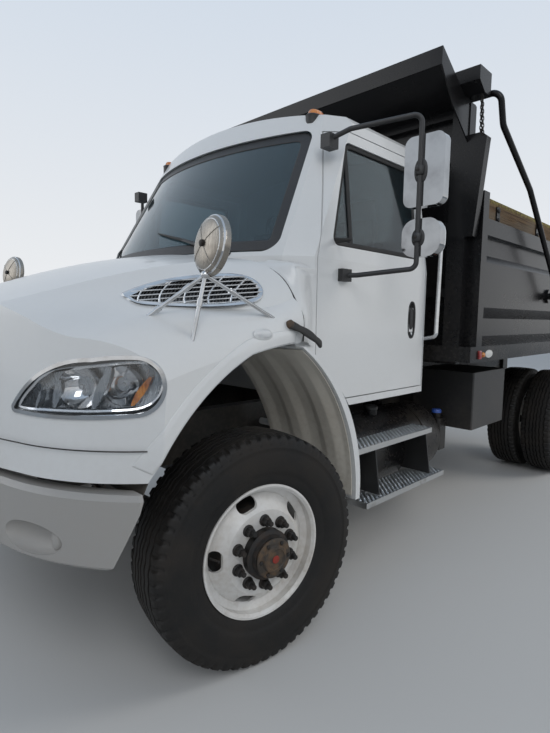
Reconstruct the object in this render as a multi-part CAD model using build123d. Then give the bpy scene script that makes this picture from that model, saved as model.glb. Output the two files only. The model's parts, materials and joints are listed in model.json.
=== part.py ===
from build123d import *
from math import atan2, cos, radians, sin
import os

# A medium-duty conventional-cab dump truck, in millimetres, +X forward and +Y to the driver's side.
# It is modelled with the front axle at x = 0 on the ground, and moved to the middle of its box at export.

# Running gear
wheelbase = 4200
tyre_radius = 520
tyre_width = 279
tread_crown = 6
rim_radius = 298.5
rim_seat_radius = 286.5
rim_width = 235
rim_gauge = 11
disc_bore_radius = 110
hand_holes = 5
hand_hole_length = 96
hand_hole_width = 50
hand_hole_circle = 224
front_tyre_y = 1028
rear_inner_tyre_y = 750
rear_outer_tyre_y = 1080
kingpin_y = 930
kingpin_radius = 18
steer_at_rest = -9

# Chassis
rail_outer_y = 432
rail_top = 1020
rail_height = 266
rail_flange = 85
rail_gauge = 9
rail_front_x = 720
rail_rear_x = -4640
hitch_z = 860
hitch_gauge = 18
hitch_hole_across = 85.7
hitch_hole_up = 44.5
hitch_hole_radius = 6.75
front_spring_y = 390
front_pad_top = 470
rear_spring_y = 505
spring_width = 76
leaf_gauge = 13

# Bumper
bumper_front_x = 1000
bumper_half_width = 1150
bumper_top = 919
bumper_bottom = 643
bumper_gauge = 7
bumper_depth = 70
bumper_bevel = 18
recess_x = 884
recess_y = 778
recess_z = 728
recess_depth = 60
recess_half_width = 158

# Cab
cab_rear_x = -1676
cab_floor_z = 1060
cab_wall = 45
cab_half_width = 1000
belt_z = 1845
cab_top_z = 2720
firewall_x = -250
arch_radius = 925
door_front_x = -455
door_rear_x = -1550
door_bottom_z = 1105
door_top_z = 2548
door_gap = 6
door_rear_gap = 13
glass_gauge = 6
glass_inset = 18

# Hood
hood_gauge = 22
hood_bottom = 952
hood_pivot_x = 968
hood_pivot_z = 937

# Dump bed
bed_front_x = -1804
bed_length = 3048
bed_half_width = 1219
bed_inner_half_width = 1067
bed_floor_z = 1335
bed_floor_gauge = 8
sill_y = 390
sill_width = 90
cross_sill_height = 100
headboard_depth = 86
headboard_half_width = 1135
headboard_top = 2950
rail_cap_top = 2230
side_board_top = 2390
side_board_gauge = 40
post_width = 150
bed_pivot_x = -4550
bed_pivot_z = 1120
pivot_pin_radius = 22
tailgate_gauge = 80
tailgate_hinge_z = 2330
tailgate_hinge_radius = 20

# Tarp gear and hoist
bail_y = 1300
bail_radius = 20
bail_pin_radius = 28
bail_pivot_x = -3350
bail_pivot_z = 1759
bail_bar_x = -1857
bail_bar_z = 2992
hoist_base_x = -2150
hoist_base_z = 880
hoist_eye_x = -3300
hoist_eye_z = 1150
hoist_barrel_radius = 74
hoist_rod_radius = 38
hoist_stroke = 845

# Clearances
pin_clearance = 0.3
seat_clearance = 0.3
moving_clearance = 6

wheel_z = tyre_radius
rear_axle_x = -wheelbase
bed_rear_x = bed_front_x - bed_length
tailgate_front_x = bed_rear_x - moving_clearance
tailgate_rear_x = tailgate_front_x - tailgate_gauge
front_axle_x = (bumper_front_x - tailgate_rear_x) / 2 - bumper_front_x
rail_bottom = rail_top - rail_height
sill_top = bed_floor_z - bed_floor_gauge - cross_sill_height

os.makedirs("parts", exist_ok=True)


def save(name, *shapes):
    moved = Pos(front_axle_x, 0, 0) * Compound(children=[s for shape in shapes for s in shape.solids()])
    export_step(moved, f"parts/{name}.step")


def other_side(shape):
    return mirror(shape, about=Plane.XZ)


def across(face, y0, y1):
    """Carry a face drawn in x and z from y0 to y1."""
    return extrude(Plane.XZ.offset(-y0) * face, amount=-(y1 - y0))


def along(face, x0, x1):
    """Carry a face drawn in y and z from x0 to x1."""
    return extrude(Plane.YZ.offset(x0) * face, amount=x1 - x0)


def upward(face, z0, z1):
    """Carry a face drawn in x and y from z0 to z1."""
    return extrude(Plane.XY.offset(z0) * face, amount=z1 - z0)


def polygon(*points):
    return make_face(Polyline(*points, close=True))


def rounded(*points, radius):
    face = polygon(*points)
    return fillet(face.vertices(), radius)


def block(x0, x1, y0, y1, z0, z1):
    return Pos((x0 + x1) / 2, (y0 + y1) / 2, (z0 + z1) / 2) * Box(x1 - x0, y1 - y0, z1 - z0)


def bar(start, end, radius):
    """A round bar from one point to another."""
    run = Vector(*end) - Vector(*start)
    return extrude(Plane(origin=start, z_dir=run) * Circle(radius), amount=run.length)


def tube_run(points, radius, bend):
    path = FilletPolyline(*points, radius=bend)
    return sweep(Plane(origin=path @ 0, z_dir=path % 0) * Circle(radius), path=path)


# Wheels, drawn about the wheel's own axle along Y, with the kerb side at +y
def tyre():
    half = tyre_width / 2
    bead = rim_width / 2 - rim_gauge - 1.3
    inner = rim_seat_radius + seat_clearance
    tread_edge = tyre_radius - tread_crown
    outer_side = [
        ThreePointArc((tread_edge, -0.82 * half), (tyre_radius, 0), (tread_edge, 0.82 * half)),
        ThreePointArc((tread_edge, 0.82 * half), (tread_edge - 8, 0.9 * half), (tread_edge - 26, 0.94 * half)),
        ThreePointArc((tread_edge - 26, 0.94 * half), (tyre_radius - 105, half), (rim_radius + 14, 0.86 * half)),
    ]
    kerb_bead = Polyline((rim_radius + 14, 0.86 * half), (rim_radius + 2, bead), (inner, bead))
    road = outer_side + list(kerb_bead.edges())
    inside = [edge.mirror(Plane.XZ) for edge in road[1:]]
    closing = Line((inner, bead), (inner, -bead))
    return revolve(make_face(road + inside + [closing]), axis=Axis.Y)


def rim_barrel():
    flange = rim_width / 2
    bead = flange - rim_gauge
    well = rim_seat_radius - 32
    half = [
        (rim_radius, bead), (rim_radius, flange), (rim_radius - 9, flange), (rim_seat_radius - 8, bead),
        (rim_seat_radius - 8, bead - 34), (well - 8, bead - 50),
    ]
    outer = [(well, bead - 56), (rim_seat_radius, bead - 38), (rim_seat_radius, bead)]
    under = [(r, -y) for r, y in reversed(half)]
    over = [(r, -y) for r, y in outer]
    return revolve(polygon(*half, *under, *reversed(over), *outer), axis=Axis.Y)


def rim(face_y, weld_y):
    """A disc wheel whose mounting face lies at face_y and whose disc meets the barrel at weld_y."""
    lean = 1 if face_y > weld_y else -1
    barrel_inner = rim_seat_radius - 40
    plate = polygon(
        (disc_bore_radius, face_y), (178, face_y), (barrel_inner - 2, weld_y - rim_gauge * lean),
        (barrel_inner + 1.5, weld_y - rim_gauge * lean), (barrel_inner + 1.5, weld_y),
        (186, face_y + rim_gauge), (disc_bore_radius, face_y + rim_gauge),
    )
    disc = revolve(plate, axis=Axis.Y)
    slot = SlotOverall(hand_hole_length, hand_hole_width, rotation=90)
    reach = rim_width
    for turn in range(hand_holes):
        hole = across(Pos(hand_hole_circle, 0) * slot, -reach, reach)
        disc -= Rot(0, 360 * turn / hand_holes, 0) * hole
    return rim_barrel() + disc


disc_face_y = 104
disc_weld_y = 60


def front_hub():
    bore = 35 + pin_clearance
    section = polygon(
        (bore, -36), (85, -36), (85, 50), (150, 82), (186, 82), (186, -75), (198, -75), (198, 78), (172, disc_face_y),
        (disc_bore_radius - pin_clearance, disc_face_y), (disc_bore_radius - pin_clearance, 150),
        (92, 158), (86, 180), (0, 184), (0, 128), (bore, 128),
    )
    return revolve(section, axis=Axis.Y)


def knuckle():
    """The steering knuckle about the tyre's centre, with its kingpin inboard."""
    pin_y = kingpin_y - front_tyre_y
    web = across(rounded((-45, -95), (45, -95), (45, 95), (-45, 95), radius=12), -52, -44)
    ears = block(-40, 40, pin_y, -44, 60, 95) + block(-40, 40, pin_y, -44, -95, -60)
    for z in (60, -95):
        ears += Pos(0, pin_y, z + 17.5) * Cylinder(40, 35)
    pin = Pos(0, pin_y, 0) * Cylinder(kingpin_radius, 210)
    shield = across(Circle(180) - Circle(73), -84, -79)
    spindle = across(Circle(35), -44, 112)
    arms = block(-30, 30, -84, -44, 70, 95) + block(-30, 30, -84, -44, -95, -70)
    return web + ears + pin + shield + spindle + arms


def at_front_left(shape):
    return Pos(0, kingpin_y, wheel_z) * Rot(0, 0, steer_at_rest) * Pos(0, front_tyre_y - kingpin_y, 0) * shape


def at_front_right(shape):
    placed = Pos(0, -(front_tyre_y - kingpin_y), 0) * other_side(shape)
    return Pos(0, -kingpin_y, wheel_z) * Rot(0, 0, steer_at_rest) * placed


def front_wheels():
    front_rim = rim(disc_face_y, disc_weld_y)
    for side, place in (("left", at_front_left), ("right", at_front_right)):
        save(f"front_tyre_{side}", place(tyre()))
        save(f"front_rim_{side}", place(front_rim))
        save(f"front_hub_{side}", place(front_hub()))
        save(f"knuckle_{side}", place(knuckle()))


mount_y = (rear_inner_tyre_y + rear_outer_tyre_y) / 2
rear_half_track = (rear_outer_tyre_y - rear_inner_tyre_y) / 2
axle_tube_radius = 62
axle_spindle_radius = 46


def rear_hub():
    """Hub and drum, in the wheel's own frame with y measured from the mounting face."""
    bore = axle_spindle_radius + pin_clearance
    section = polygon(
        (bore, -185), (88, -185), (88, -60), (150, -34), (176, -34), (190, -85), (190, -185), (204, -185),
        (204, -82), (176, -rim_gauge), (disc_bore_radius - pin_clearance, -rim_gauge),
        (disc_bore_radius - pin_clearance, 60), (92, 70), (88, 160), (0, 160), (0, 96), (bore, 96),
    )
    return revolve(section, axis=Axis.Y)


def rear_wheels():
    dish = rim(-rear_half_track, -24)
    outer = Pos(rear_axle_x, rear_outer_tyre_y, wheel_z) * dish
    inner = Pos(rear_axle_x, rear_inner_tyre_y, wheel_z) * other_side(dish)
    tyres = [Pos(rear_axle_x, y, wheel_z) * tyre() for y in (rear_inner_tyre_y, rear_outer_tyre_y)]
    hub = Pos(rear_axle_x, mount_y, wheel_z) * rear_hub()
    save("rear_tyres_left", *tyres)
    save("rear_rims_left", outer, inner)
    save("rear_hub_left", hub)
    save("rear_tyres_right", *[other_side(t) for t in tyres])
    save("rear_rims_right", other_side(outer), other_side(inner))
    save("rear_hub_right", other_side(hub))


# Axles, springs and driveline
def front_axle():
    drop = 78
    half = polygon(
        (0, 372), (front_spring_y, 372), (kingpin_y - 90, wheel_z - 55), (kingpin_y, wheel_z - 55),
        (kingpin_y, wheel_z + 55), (kingpin_y - 130, wheel_z + 45), (front_spring_y + 30, 372 + drop + 12),
        (0, 372 + drop + 12),
    )
    whole = half + half.mirror(Plane.YZ)
    pocket = offset(whole, amount=-19, kind=Kind.INTERSECTION)
    beam = along(whole, -38, 38)
    beam -= along(pocket, 12, 40) + along(pocket, -40, -12)
    for side in (-1, 1):
        boss = Pos(0, side * kingpin_y, wheel_z) * Cylinder(40, 110)
        gap = Pos(0, side * (kingpin_y + 40), wheel_z) * Box(90, 80, 120)
        beam = beam - gap + boss
        beam += block(-50, 50, side * front_spring_y - 42, side * front_spring_y + 42, 440, front_pad_top)
        beam -= Pos(0, side * kingpin_y, wheel_z) * Cylinder(kingpin_radius + pin_clearance, 130)
    return beam


def rear_axle():
    tube = across(Circle(axle_tube_radius), -rear_inner_tyre_y + 60, rear_inner_tyre_y - 60)
    tube += across(Circle(axle_spindle_radius), -mount_y - 80, mount_y + 80)
    bowl = Rot(0, 90, 0) * Cylinder(185, 210)
    bowl = fillet(bowl.edges().filter_by(GeomType.CIRCLE), 70)
    cone = Plane(origin=(90, 0, 0), z_dir=(1, 0, 0)) * Cone(120, 62, 230, align=(Align.CENTER, Align.CENTER, Align.MIN))
    flare = Plane(origin=(0, 60, 0), z_dir=(0, 1, 0)) * Cone(150, axle_tube_radius, 260, align=(Align.CENTER, Align.CENTER, Align.MIN))
    housing = tube + bowl + cone + flare + other_side(flare)
    plate = across(Circle(184) - Circle(axle_spindle_radius - 1), 716, 722)
    housing += plate + other_side(plate)
    return Pos(rear_axle_x, 0, wheel_z) * housing


shaft_joint_x = rear_axle_x + 320
shaft_front_x = -960
shaft_front_z = 700


def drive_shaft():
    start = (shaft_joint_x, 0, wheel_z)
    end = (shaft_front_x, 0, shaft_front_z)
    shaft = bar(start, end, 46)
    for x, z in ((shaft_joint_x, wheel_z), (shaft_front_x, shaft_front_z)):
        shaft += Pos(x, 0, z) * Sphere(58)
    shaft -= block(shaft_joint_x - 200, shaft_joint_x, -100, 100, 300, 800)
    shaft -= block(shaft_front_x, shaft_front_x + 200, -100, 100, 500, 900)
    return shaft


def leaf_pack(x, y, seat_z, span, rise, leaves):
    """Leaves under one another, each shorter than the one above, with an eye at both ends of the top one."""
    radius = (span ** 2 + rise ** 2) / (2 * rise)
    centre_z = seat_z + radius
    sweep_angle = atan2(span, radius - rise)
    pack = Part()
    for leaf in range(leaves):
        reach = sweep_angle * (1 - leaf / (leaves + 0.6))
        inner = radius - (leaves - leaf) * leaf_gauge
        far = 2 * radius
        wedge = polygon((0, 0), (-far * sin(reach), -far * cos(reach)), (far * sin(reach), -far * cos(reach)))
        leaf_face = (Circle(inner + leaf_gauge) - Circle(inner)) & wedge
        pack += across(Pos(x, centre_z) * leaf_face, y - spring_width / 2, y + spring_width / 2)
    top_leaf = radius - (leaves - 0.5) * leaf_gauge
    eye_x, eye_z = top_leaf * sin(sweep_angle), centre_z - top_leaf * cos(sweep_angle)
    for end in (-1, 1):
        pack += across(Pos(x + end * eye_x, eye_z) * Circle(26), y - spring_width / 2, y + spring_width / 2)
    return pack, eye_x, eye_z


def springs():
    parts = []
    for side in (-1, 1):
        near = side * front_spring_y
        pack, eye_x, eye_z = leaf_pack(0, near, front_pad_top, 600, 150, 4)
        for x in (-eye_x, eye_x):
            pack += across(polygon((x - 36, rail_bottom), (x + 36, rail_bottom), (x + 30, eye_z), (x - 30, eye_z)),
                           near - 37, near + 37)
        parts.append(pack)
        pad_top = wheel_z + axle_tube_radius + 16
        pack, eye_x, eye_z = leaf_pack(rear_axle_x, side * rear_spring_y, pad_top, 400, 70, 6)
        for x in (rear_axle_x - eye_x, rear_axle_x + eye_x):
            near, far = sorted((side * rail_outer_y, side * (rear_spring_y + 37)))
            pack += block(x - 34, x + 34, near, far, eye_z - 10, rail_top - 132)
        saddle = block(rear_axle_x - 60, rear_axle_x + 60, side * rear_spring_y - 44, side * rear_spring_y + 44,
                       wheel_z + 20, pad_top)
        pack += saddle - Pos(rear_axle_x, 0, wheel_z) * across(Circle(axle_tube_radius), -700, 700)
        parts.append(pack)
    return parts


def frame_rail():
    channel = polygon(
        (rail_outer_y, rail_bottom), (rail_outer_y, rail_top), (rail_outer_y - rail_flange, rail_top),
        (rail_outer_y - rail_flange, rail_top - rail_gauge), (rail_outer_y - rail_gauge, rail_top - rail_gauge),
        (rail_outer_y - rail_gauge, rail_bottom + rail_gauge),
        (rail_outer_y - rail_flange, rail_bottom + rail_gauge), (rail_outer_y - rail_flange, rail_bottom),
    )
    return along(channel, rail_rear_x, rail_front_x)


cross_stations = (
    ("front", 640, 60, 200), ("mid", -1250, 60, 200), ("hoist", hoist_base_x + 115, 60, 220),
    ("rear_hanger", -3420, 60, 110), ("tail", rail_rear_x + 30, 60, 220),
)


def crossmembers():
    half = rail_outer_y - rail_gauge
    members = []
    for name, x, depth, height in cross_stations:
        low = rail_bottom + rail_gauge
        member = block(x - depth / 2, x + depth / 2, -half, half, low, low + height)
        if name == "tail":
            member -= hitch_holes()
        if name == "front":
            for side in (-1, 1):
                y0, y1 = sorted((side * 143, side * 157))
                arm = make_face([
                    *Polyline((x, low), (x, low + height), (hood_pivot_x, hood_pivot_z + 13)).edges(),
                    ThreePointArc((hood_pivot_x, hood_pivot_z + 13), (hood_pivot_x + 13, hood_pivot_z), (hood_pivot_x, hood_pivot_z - 13)),
                    *Polyline((hood_pivot_x, hood_pivot_z - 13), (870, hood_pivot_z - 13), (x, low)).edges(),
                ])
                member += across(arm, y0, y1)
                p0, p1 = sorted((side * 143, side * 174))
                member += across(Pos(hood_pivot_x, hood_pivot_z) * Circle(8), p0, p1)
        if name == "hoist":
            for side in (-1, 1):
                ear = rounded((x - 20, hoist_base_z - 70), (hoist_base_x - 60, hoist_base_z - 70),
                              (hoist_base_x - 60, hoist_base_z + 62), (x - 20, hoist_base_z + 62), radius=12)
                member += across(ear, side * 96 - 10, side * 96 + 10)
            member -= across(Pos(hoist_base_x, hoist_base_z) * Circle(25 + pin_clearance), -150, 150)
        members.append(member)
    return members


def hitch_holes():
    """Four through holes on the pintle hitch's rectangle."""
    holes = Part()
    for y in (-hitch_hole_across / 2, hitch_hole_across / 2):
        for z in (-hitch_hole_up / 2, hitch_hole_up / 2):
            centre = (rail_rear_x, y, hitch_z + z)
            holes += Pos(*centre) * Rot(0, 90, 0) * Cylinder(hitch_hole_radius, 200)
    return holes


def hitch_plate():
    plate = block(rail_rear_x - hitch_gauge, rail_rear_x, -200, 200, rail_bottom + 10, rail_top - 12)
    return plate - hitch_holes()


# Front bumper
def bumper_plan(step):
    """The bumper's outline from above: a shallow front arc, then a tighter wrap to each side."""
    nose = bumper_front_x - step
    knee = (918 - step, 610)
    end = (640 - step * 0.4, bumper_half_width - step)
    front = ThreePointArc((knee[0], -knee[1]), (nose, 0), knee)
    wrap = ThreePointArc(knee, (812 - step, 925 - step * 0.6), end)
    back_x = 470
    edges = [front, wrap, wrap.mirror(Plane.XZ)]
    edges += [Line(end, (back_x, end[1])), Line((back_x, end[1]), (back_x, -end[1])), Line((back_x, -end[1]), (end[0], -end[1]))]
    return make_face(edges)


def bumper_form(inset):
    """The bumper's closed form, bevelled along its top and bottom edges."""
    low, high = bumper_bottom + inset, bumper_top - inset
    face, lip = bumper_plan(inset), bumper_plan(inset + bumper_bevel)
    body = upward(face, low + bumper_bevel, high - bumper_bevel)
    body += loft([Plane.XY.offset(high - bumper_bevel) * face, Plane.XY.offset(high) * lip], ruled=True)
    body += loft([Plane.XY.offset(low) * lip, Plane.XY.offset(low + bumper_bevel) * face], ruled=True)
    return body


def front_bumper():
    outer = bumper_form(0)
    hollow = bumper_form(bumper_gauge)
    behind = upward(bumper_plan(bumper_depth), bumper_bottom - 10, bumper_top + 10)
    shell = outer - hollow - behind
    rake = polygon((400, bumper_top), (620, bumper_top), (712, bumper_bottom), (400, bumper_bottom))
    shell -= across(rake, 1000, 1300) + across(rake, -1300, -1000)
    for side in (-1, 1):
        place = Pos(recess_x, side * recess_y, recess_z) * Rot(0, 0, side * 22)
        shell += (place * recess_form(bumper_gauge)) & outer
        shell -= place * recess_form(0)
        shell += block(rail_front_x, 950, side * 411 - 20, side * 411 + 20, 765, 905) & outer_reach()
    return shell


def recess_form(grow):
    """A long round hollow: half an ellipse spun about the length of the recess."""
    half = Ellipse(recess_depth + grow, recess_half_width + grow) & Pos(500, 0) * Rectangle(1000, 1000)
    return revolve(half, Axis.Y)


def outer_reach():
    return upward(bumper_plan(bumper_gauge * 0.5), bumper_bottom, bumper_top) + block(rail_front_x, 900, -500, 500, 700, 910)


# Cab
def cab_plan(front, corner_x, corner_y, half_width, rear, shoulder):
    """The greenhouse from above: a curved windscreen line, rounded shoulders and a flat back."""
    arc = ThreePointArc((corner_x, -corner_y), (front, 0), (corner_x, corner_y))
    left = Polyline((corner_x, corner_y), (corner_x - shoulder, half_width), (rear + 110, half_width),
                    (rear, half_width - 110), (rear, -(half_width - 110)), (rear + 110, -half_width),
                    (corner_x - shoulder, -half_width), (corner_x, -corner_y))
    return make_face([arc] + list(left.edges()))


def cab_volume(inset):
    """The closed outer form of the cab, drawn in on every side by an inset."""
    belt = offset(cab_plan(-60, -300, 900, cab_half_width, cab_rear_x, 130), amount=-inset, kind=Kind.INTERSECTION)
    roof = offset(cab_plan(-620, -770, 785, 900, cab_rear_x + 40, 110), amount=-inset, kind=Kind.INTERSECTION)
    low = upward(belt, cab_floor_z + inset, belt_z)
    high = loft([Plane.XY.offset(belt_z) * belt, Plane.XY.offset(cab_top_z + 10) * roof], ruled=True)
    crown = cab_top_z - inset
    dome = make_face([
        ThreePointArc((-880, crown - 75), (0, crown), (880, crown - 75)),
        *Polyline((880, crown - 75), (1100, crown - 300), (1100, 900), (-1100, 900), (-1100, crown - 300),
                  (-880, crown - 75)).edges(),
    ])
    body = (low + high) & along(dome, cab_rear_x - 100, 200)
    body -= across(Pos(0, wheel_z) * Circle(arch_radius + inset), -1200, 1200)
    body -= block(firewall_x - inset, 300, -1200, 1200, 900, belt_z - 85)
    return body


def cowl():
    """The panels between the hood and the doors, and the shelf under the windscreen."""
    front = [
        ThreePointArc((-262, -cab_half_width - 30), (-44, 0), (-262, cab_half_width + 30)),
        *Polyline((-262, cab_half_width + 30), (door_front_x + door_gap, cab_half_width),
                  (door_front_x + door_gap, -cab_half_width), (-262, -cab_half_width - 30)).edges(),
    ]
    shelf = upward(make_face(front), 1200, belt_z + 30)
    crest = make_face([
        ThreePointArc((-1060, belt_z - 70), (0, belt_z), (1060, belt_z - 70)),
        *Polyline((1060, belt_z - 70), (1060, 1100), (-1060, 1100), (-1060, belt_z - 70)).edges(),
    ])
    shelf &= along(crest, -600, 100)
    shelf -= across(Pos(0, wheel_z) * Circle(arch_radius), -1200, 1200)
    shelf -= block(firewall_x, 300, -1200, 1200, 900, belt_z - 85)
    return shelf


def door_outline(gap, rear_gap):
    """The door's edge seen from the side, grown by a gap; the leaf's rear edge swings out past its own corner."""
    front, rear, low, high = door_front_x + gap, door_rear_x - rear_gap, door_bottom_z - gap, door_top_z + gap
    return polygon((front, low), (front, belt_z), (front - 235, high), (rear, high), (rear, low))


def side_window():
    return rounded((-575, 1920), (-752, 2490), (-1465, 2490), (-1465, 1920), radius=42)


def windscreen():
    return rounded((-865, 1868), (-772, 2570), (772, 2570), (865, 1868), radius=70)


def back_window():
    return rounded((-560, 1960), (-560, 2400), (560, 2400), (560, 1960), radius=60)


def cab():
    outer = cab_volume(0)
    inner = cab_volume(cab_wall)
    shell = outer + cowl() - inner
    for near, far in ((780, 1300), (-1300, -780)):
        shell -= across(door_outline(door_gap, door_rear_gap), near, far)
    shell -= along(windscreen(), -765, 200)
    shell -= along(back_window(), cab_rear_x - 60, cab_rear_x + 120)
    for x in (-810, cab_rear_x + 90):
        for side in (-1, 1):
            shell += Pos(x, side * (rail_outer_y - 45), (rail_top + cab_floor_z) / 2) * Cylinder(38, cab_floor_z - rail_top)
    return shell


def glazing():
    pane = cab_volume(glass_inset) - cab_volume(glass_inset + glass_gauge)
    front = pane & along(windscreen(), -765, 200)
    rear = pane & along(back_window(), cab_rear_x - 60, cab_rear_x + 120)
    return front, rear


def door():
    wall = cab_volume(0) - cab_volume(cab_wall)
    leaf = wall & across(door_outline(0, 0), 780, 1300)
    leaf -= across(side_window(), 780, 1300)
    recess = across(Pos(-1398, 1536) * SlotOverall(230, 84, rotation=90), cab_half_width - 16, cab_half_width + 20)
    leaf -= recess
    leaf += across(Pos(-1398, 1536) * Rectangle(46, 150), cab_half_width - 17, cab_half_width - 4)
    return leaf


def door_glass():
    pane = cab_volume(glass_inset) - cab_volume(glass_inset + glass_gauge)
    return pane & across(side_window(), 780, 1300)


mirror_tube_x = -845
mirror_tube_y = 1325
mirror_tube_radius = 13


def door_mirror():
    """The looped mirror tube with its two brackets, the flat mirror above and the round one below."""
    loop = tube_run([
        (-590, 930, 2455), (-640, 1040, 2500), (mirror_tube_x, mirror_tube_y, 2560),
        (mirror_tube_x, mirror_tube_y, 1800), (-700, 1060, 1768), (-650, 975, 1768),
    ], mirror_tube_radius, 38)
    top = block(-640, -565, 905, 965, 2415, 2485)
    foot = block(-700, -620, cab_half_width - 2, cab_half_width + 30, 1735, 1800)
    return loop, top, foot


def mirror_heads():
    flat = rounded((mirror_tube_y - 95, 2110), (mirror_tube_y + 125, 2110), (mirror_tube_y + 125, 2460),
                   (mirror_tube_y - 95, 2460), radius=45)
    case = along(flat, mirror_tube_x - 78, mirror_tube_x - 8)
    case = fillet(case.edges().filter_by(Plane.YZ).group_by(Axis.X)[0], 22)
    low = rounded((mirror_tube_y - 95, 1860), (mirror_tube_y + 120, 1860), (mirror_tube_y + 120, 2050),
                  (mirror_tube_y - 95, 2050), radius=70)
    bowl = along(low, mirror_tube_x - 84, mirror_tube_x - 8)
    bowl = fillet(bowl.edges().filter_by(Plane.YZ).group_by(Axis.X)[0], 30)
    groove = Pos(mirror_tube_x, mirror_tube_y, 2150) * Cylinder(mirror_tube_radius + seat_clearance, 900)
    return case - groove, bowl - groove


def doors():
    leaf, pane = door(), door_glass()
    loop, top, foot = door_mirror()
    frame = (loop + top + foot) - cab_volume(0)
    case, bowl = mirror_heads()
    for side, place in (("left", lambda s: s), ("right", other_side)):
        save(f"door_{side}", place(leaf))
        save(f"door_glass_{side}", place(pane))
        save(f"mirror_arm_{side}", place(frame))
        save(f"mirrors_{side}", place(case), place(bowl))


def dashboard():
    profile = rounded((-290, 1420), (-290, 1800), (-430, 1812), (-560, 1740), (-580, 1640), (-450, 1420), radius=22)
    desk = across(profile, -930, 930) & cab_volume(cab_wall + seat_clearance)
    return desk + steering_wheel()


def steering_wheel():
    wheel = Torus(215, 16) + Cylinder(52, 30)
    for turn in (90, 210, 330):
        wheel += Rot(0, 0, turn) * Pos(105, 0, 0) * Box(200, 34, 12)
    wheel += Pos(0, 0, -200) * Cylinder(34, 420)
    return Pos(-735, 430, 1735) * Rot(0, -42, 0) * wheel


def seats():
    found = []
    floor = cab_floor_z + cab_wall
    for y in (430, -430):
        base = block(-1310, -900, y - 170, y + 170, floor + seat_clearance, 1330)
        cushion = across(rounded((-860, 1330), (-850, 1450), (-1340, 1440), (-1340, 1330), radius=38), y - 255, y + 255)
        back = across(rounded((-1325, 1345), (-1440, 2060), (-1555, 2060), (-1450, 1345), radius=22), y - 240, y + 240)
        rest = across(rounded((-1448, 2020), (-1470, 2230), (-1550, 2230), (-1556, 2020), radius=26), y - 140, y + 140)
        found.append(base + cushion + back + rest)
    return found


# Hood, nose and lamps
hood_stations = (
    # x, centre height, bonnet edge (y, z), shoulder (y, z), fender crown (y, z), side (y, z)
    (-320, 1925, (760, 1850), (1000, 1785), (1062, 1700), (1075, 1430)),
    (-60, 1882, (740, 1815), (900, 1745), (1040, 1585), (1125, 1420)),
    (250, 1822, (660, 1760), (800, 1660), (985, 1568), (1145, 1380)),
    (600, 1718, (570, 1665), (730, 1580), (935, 1515), (1150, 1290)),
    (1000, 1583, (460, 1546), (600, 1480), (830, 1330), (1110, 1130)),
)


def hood_section(station, inset):
    x, crest, bonnet, shoulder, crown, side = station
    def drawn_in(point):
        return (point[0] - inset, point[1] - inset)
    top, edge, waist, fender, flank = (0, crest - inset), drawn_in(bonnet), drawn_in(shoulder), drawn_in(crown), drawn_in(side)
    low = hood_bottom - 60
    bulge = ((fender[0] + flank[0]) / 2 + 22, (fender[1] + flank[1]) / 2 + 30)
    edges = [
        ThreePointArc(top, (edge[0] / 2, top[1] - (top[1] - edge[1]) * 0.27), edge),
        ThreePointArc(edge, (waist[0] - 8, waist[1] + 6), fender),
        ThreePointArc(fender, bulge, flank),
        Line(flank, (flank[0], low)), Line((flank[0], low), (0, low)), Line((0, low), top),
    ]
    return Plane.YZ.offset(x) * make_face(edges)


def nose_plan(inset):
    nose = bumper_front_x - 15 - inset
    lamp = (880 - inset, 700)
    edge = (560, 1152 - inset)
    far = -900
    edges = [
        ThreePointArc((lamp[0], -lamp[1]), (nose, 0), lamp),
        ThreePointArc(lamp, (762 - inset * 0.7, 960 - inset * 0.7), edge),
        ThreePointArc((lamp[0], -lamp[1]), (762 - inset * 0.7, -960 + inset * 0.7), (edge[0], -edge[1])),
        *Polyline(edge, (far, edge[1]), (far, -edge[1]), (edge[0], -edge[1])).edges(),
    ]
    return make_face(edges)


def hood_volume(inset):
    half = loft([hood_section(station, inset) for station in hood_stations])
    whole = half + other_side(half)
    lean = Vector(-82, 0, 1000)
    nose = extrude(Plane.XY.offset(hood_bottom - 60) * nose_plan(inset), amount=lean.length, dir=lean)
    return whole & nose


def arch_outline():
    return make_face([
        ThreePointArc((600, 940), (387, 1212), (110, 1387)),
        ThreePointArc((110, 1387), (-40, 1412), (-178, 1424)),
        *Polyline((-178, 1424), (-700, 1424), (-700, 800), (600, 800), (600, 940)).edges(),
    ])


lamp_facing = 45


def lamp_prism(face):
    facing = Plane(origin=(0, 0, 0), x_dir=(-sin(radians(lamp_facing)), cos(radians(lamp_facing)), 0),
                   z_dir=(cos(radians(lamp_facing)), sin(radians(lamp_facing)), 0))
    return extrude(facing.offset(1000) * face, amount=400)


def lamp_outline():
    return make_face([
        ThreePointArc((-166, 1202), (-30, 1334), (180, 1391)),
        ThreePointArc((180, 1391), (270, 1401), (345, 1401)),
        ThreePointArc((345, 1401), (440, 1293), (335, 1186)),
        ThreePointArc((335, 1186), (100, 1173), (-146, 1174)),
        ThreePointArc((-146, 1174), (-164, 1183), (-166, 1202)),
    ])


def hood():
    skin = hood_volume(0) - hood_volume(hood_gauge)
    skin -= upward(polygon((-900, -1300), (1300, -1300), (1300, 1300), (-900, 1300)), hood_bottom - 100, hood_bottom)
    rear = make_face([
        ThreePointArc((-248, -1150), (-30, 0), (-248, 1150)),
        *Polyline((-248, 1150), (-900, 1150), (-900, -1150), (-248, -1150)).edges(),
    ])
    skin -= upward(rear, 800, 2200)
    skin -= across(arch_outline(), 560, 1300) + across(arch_outline(), -1300, -560)
    return skin


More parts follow.
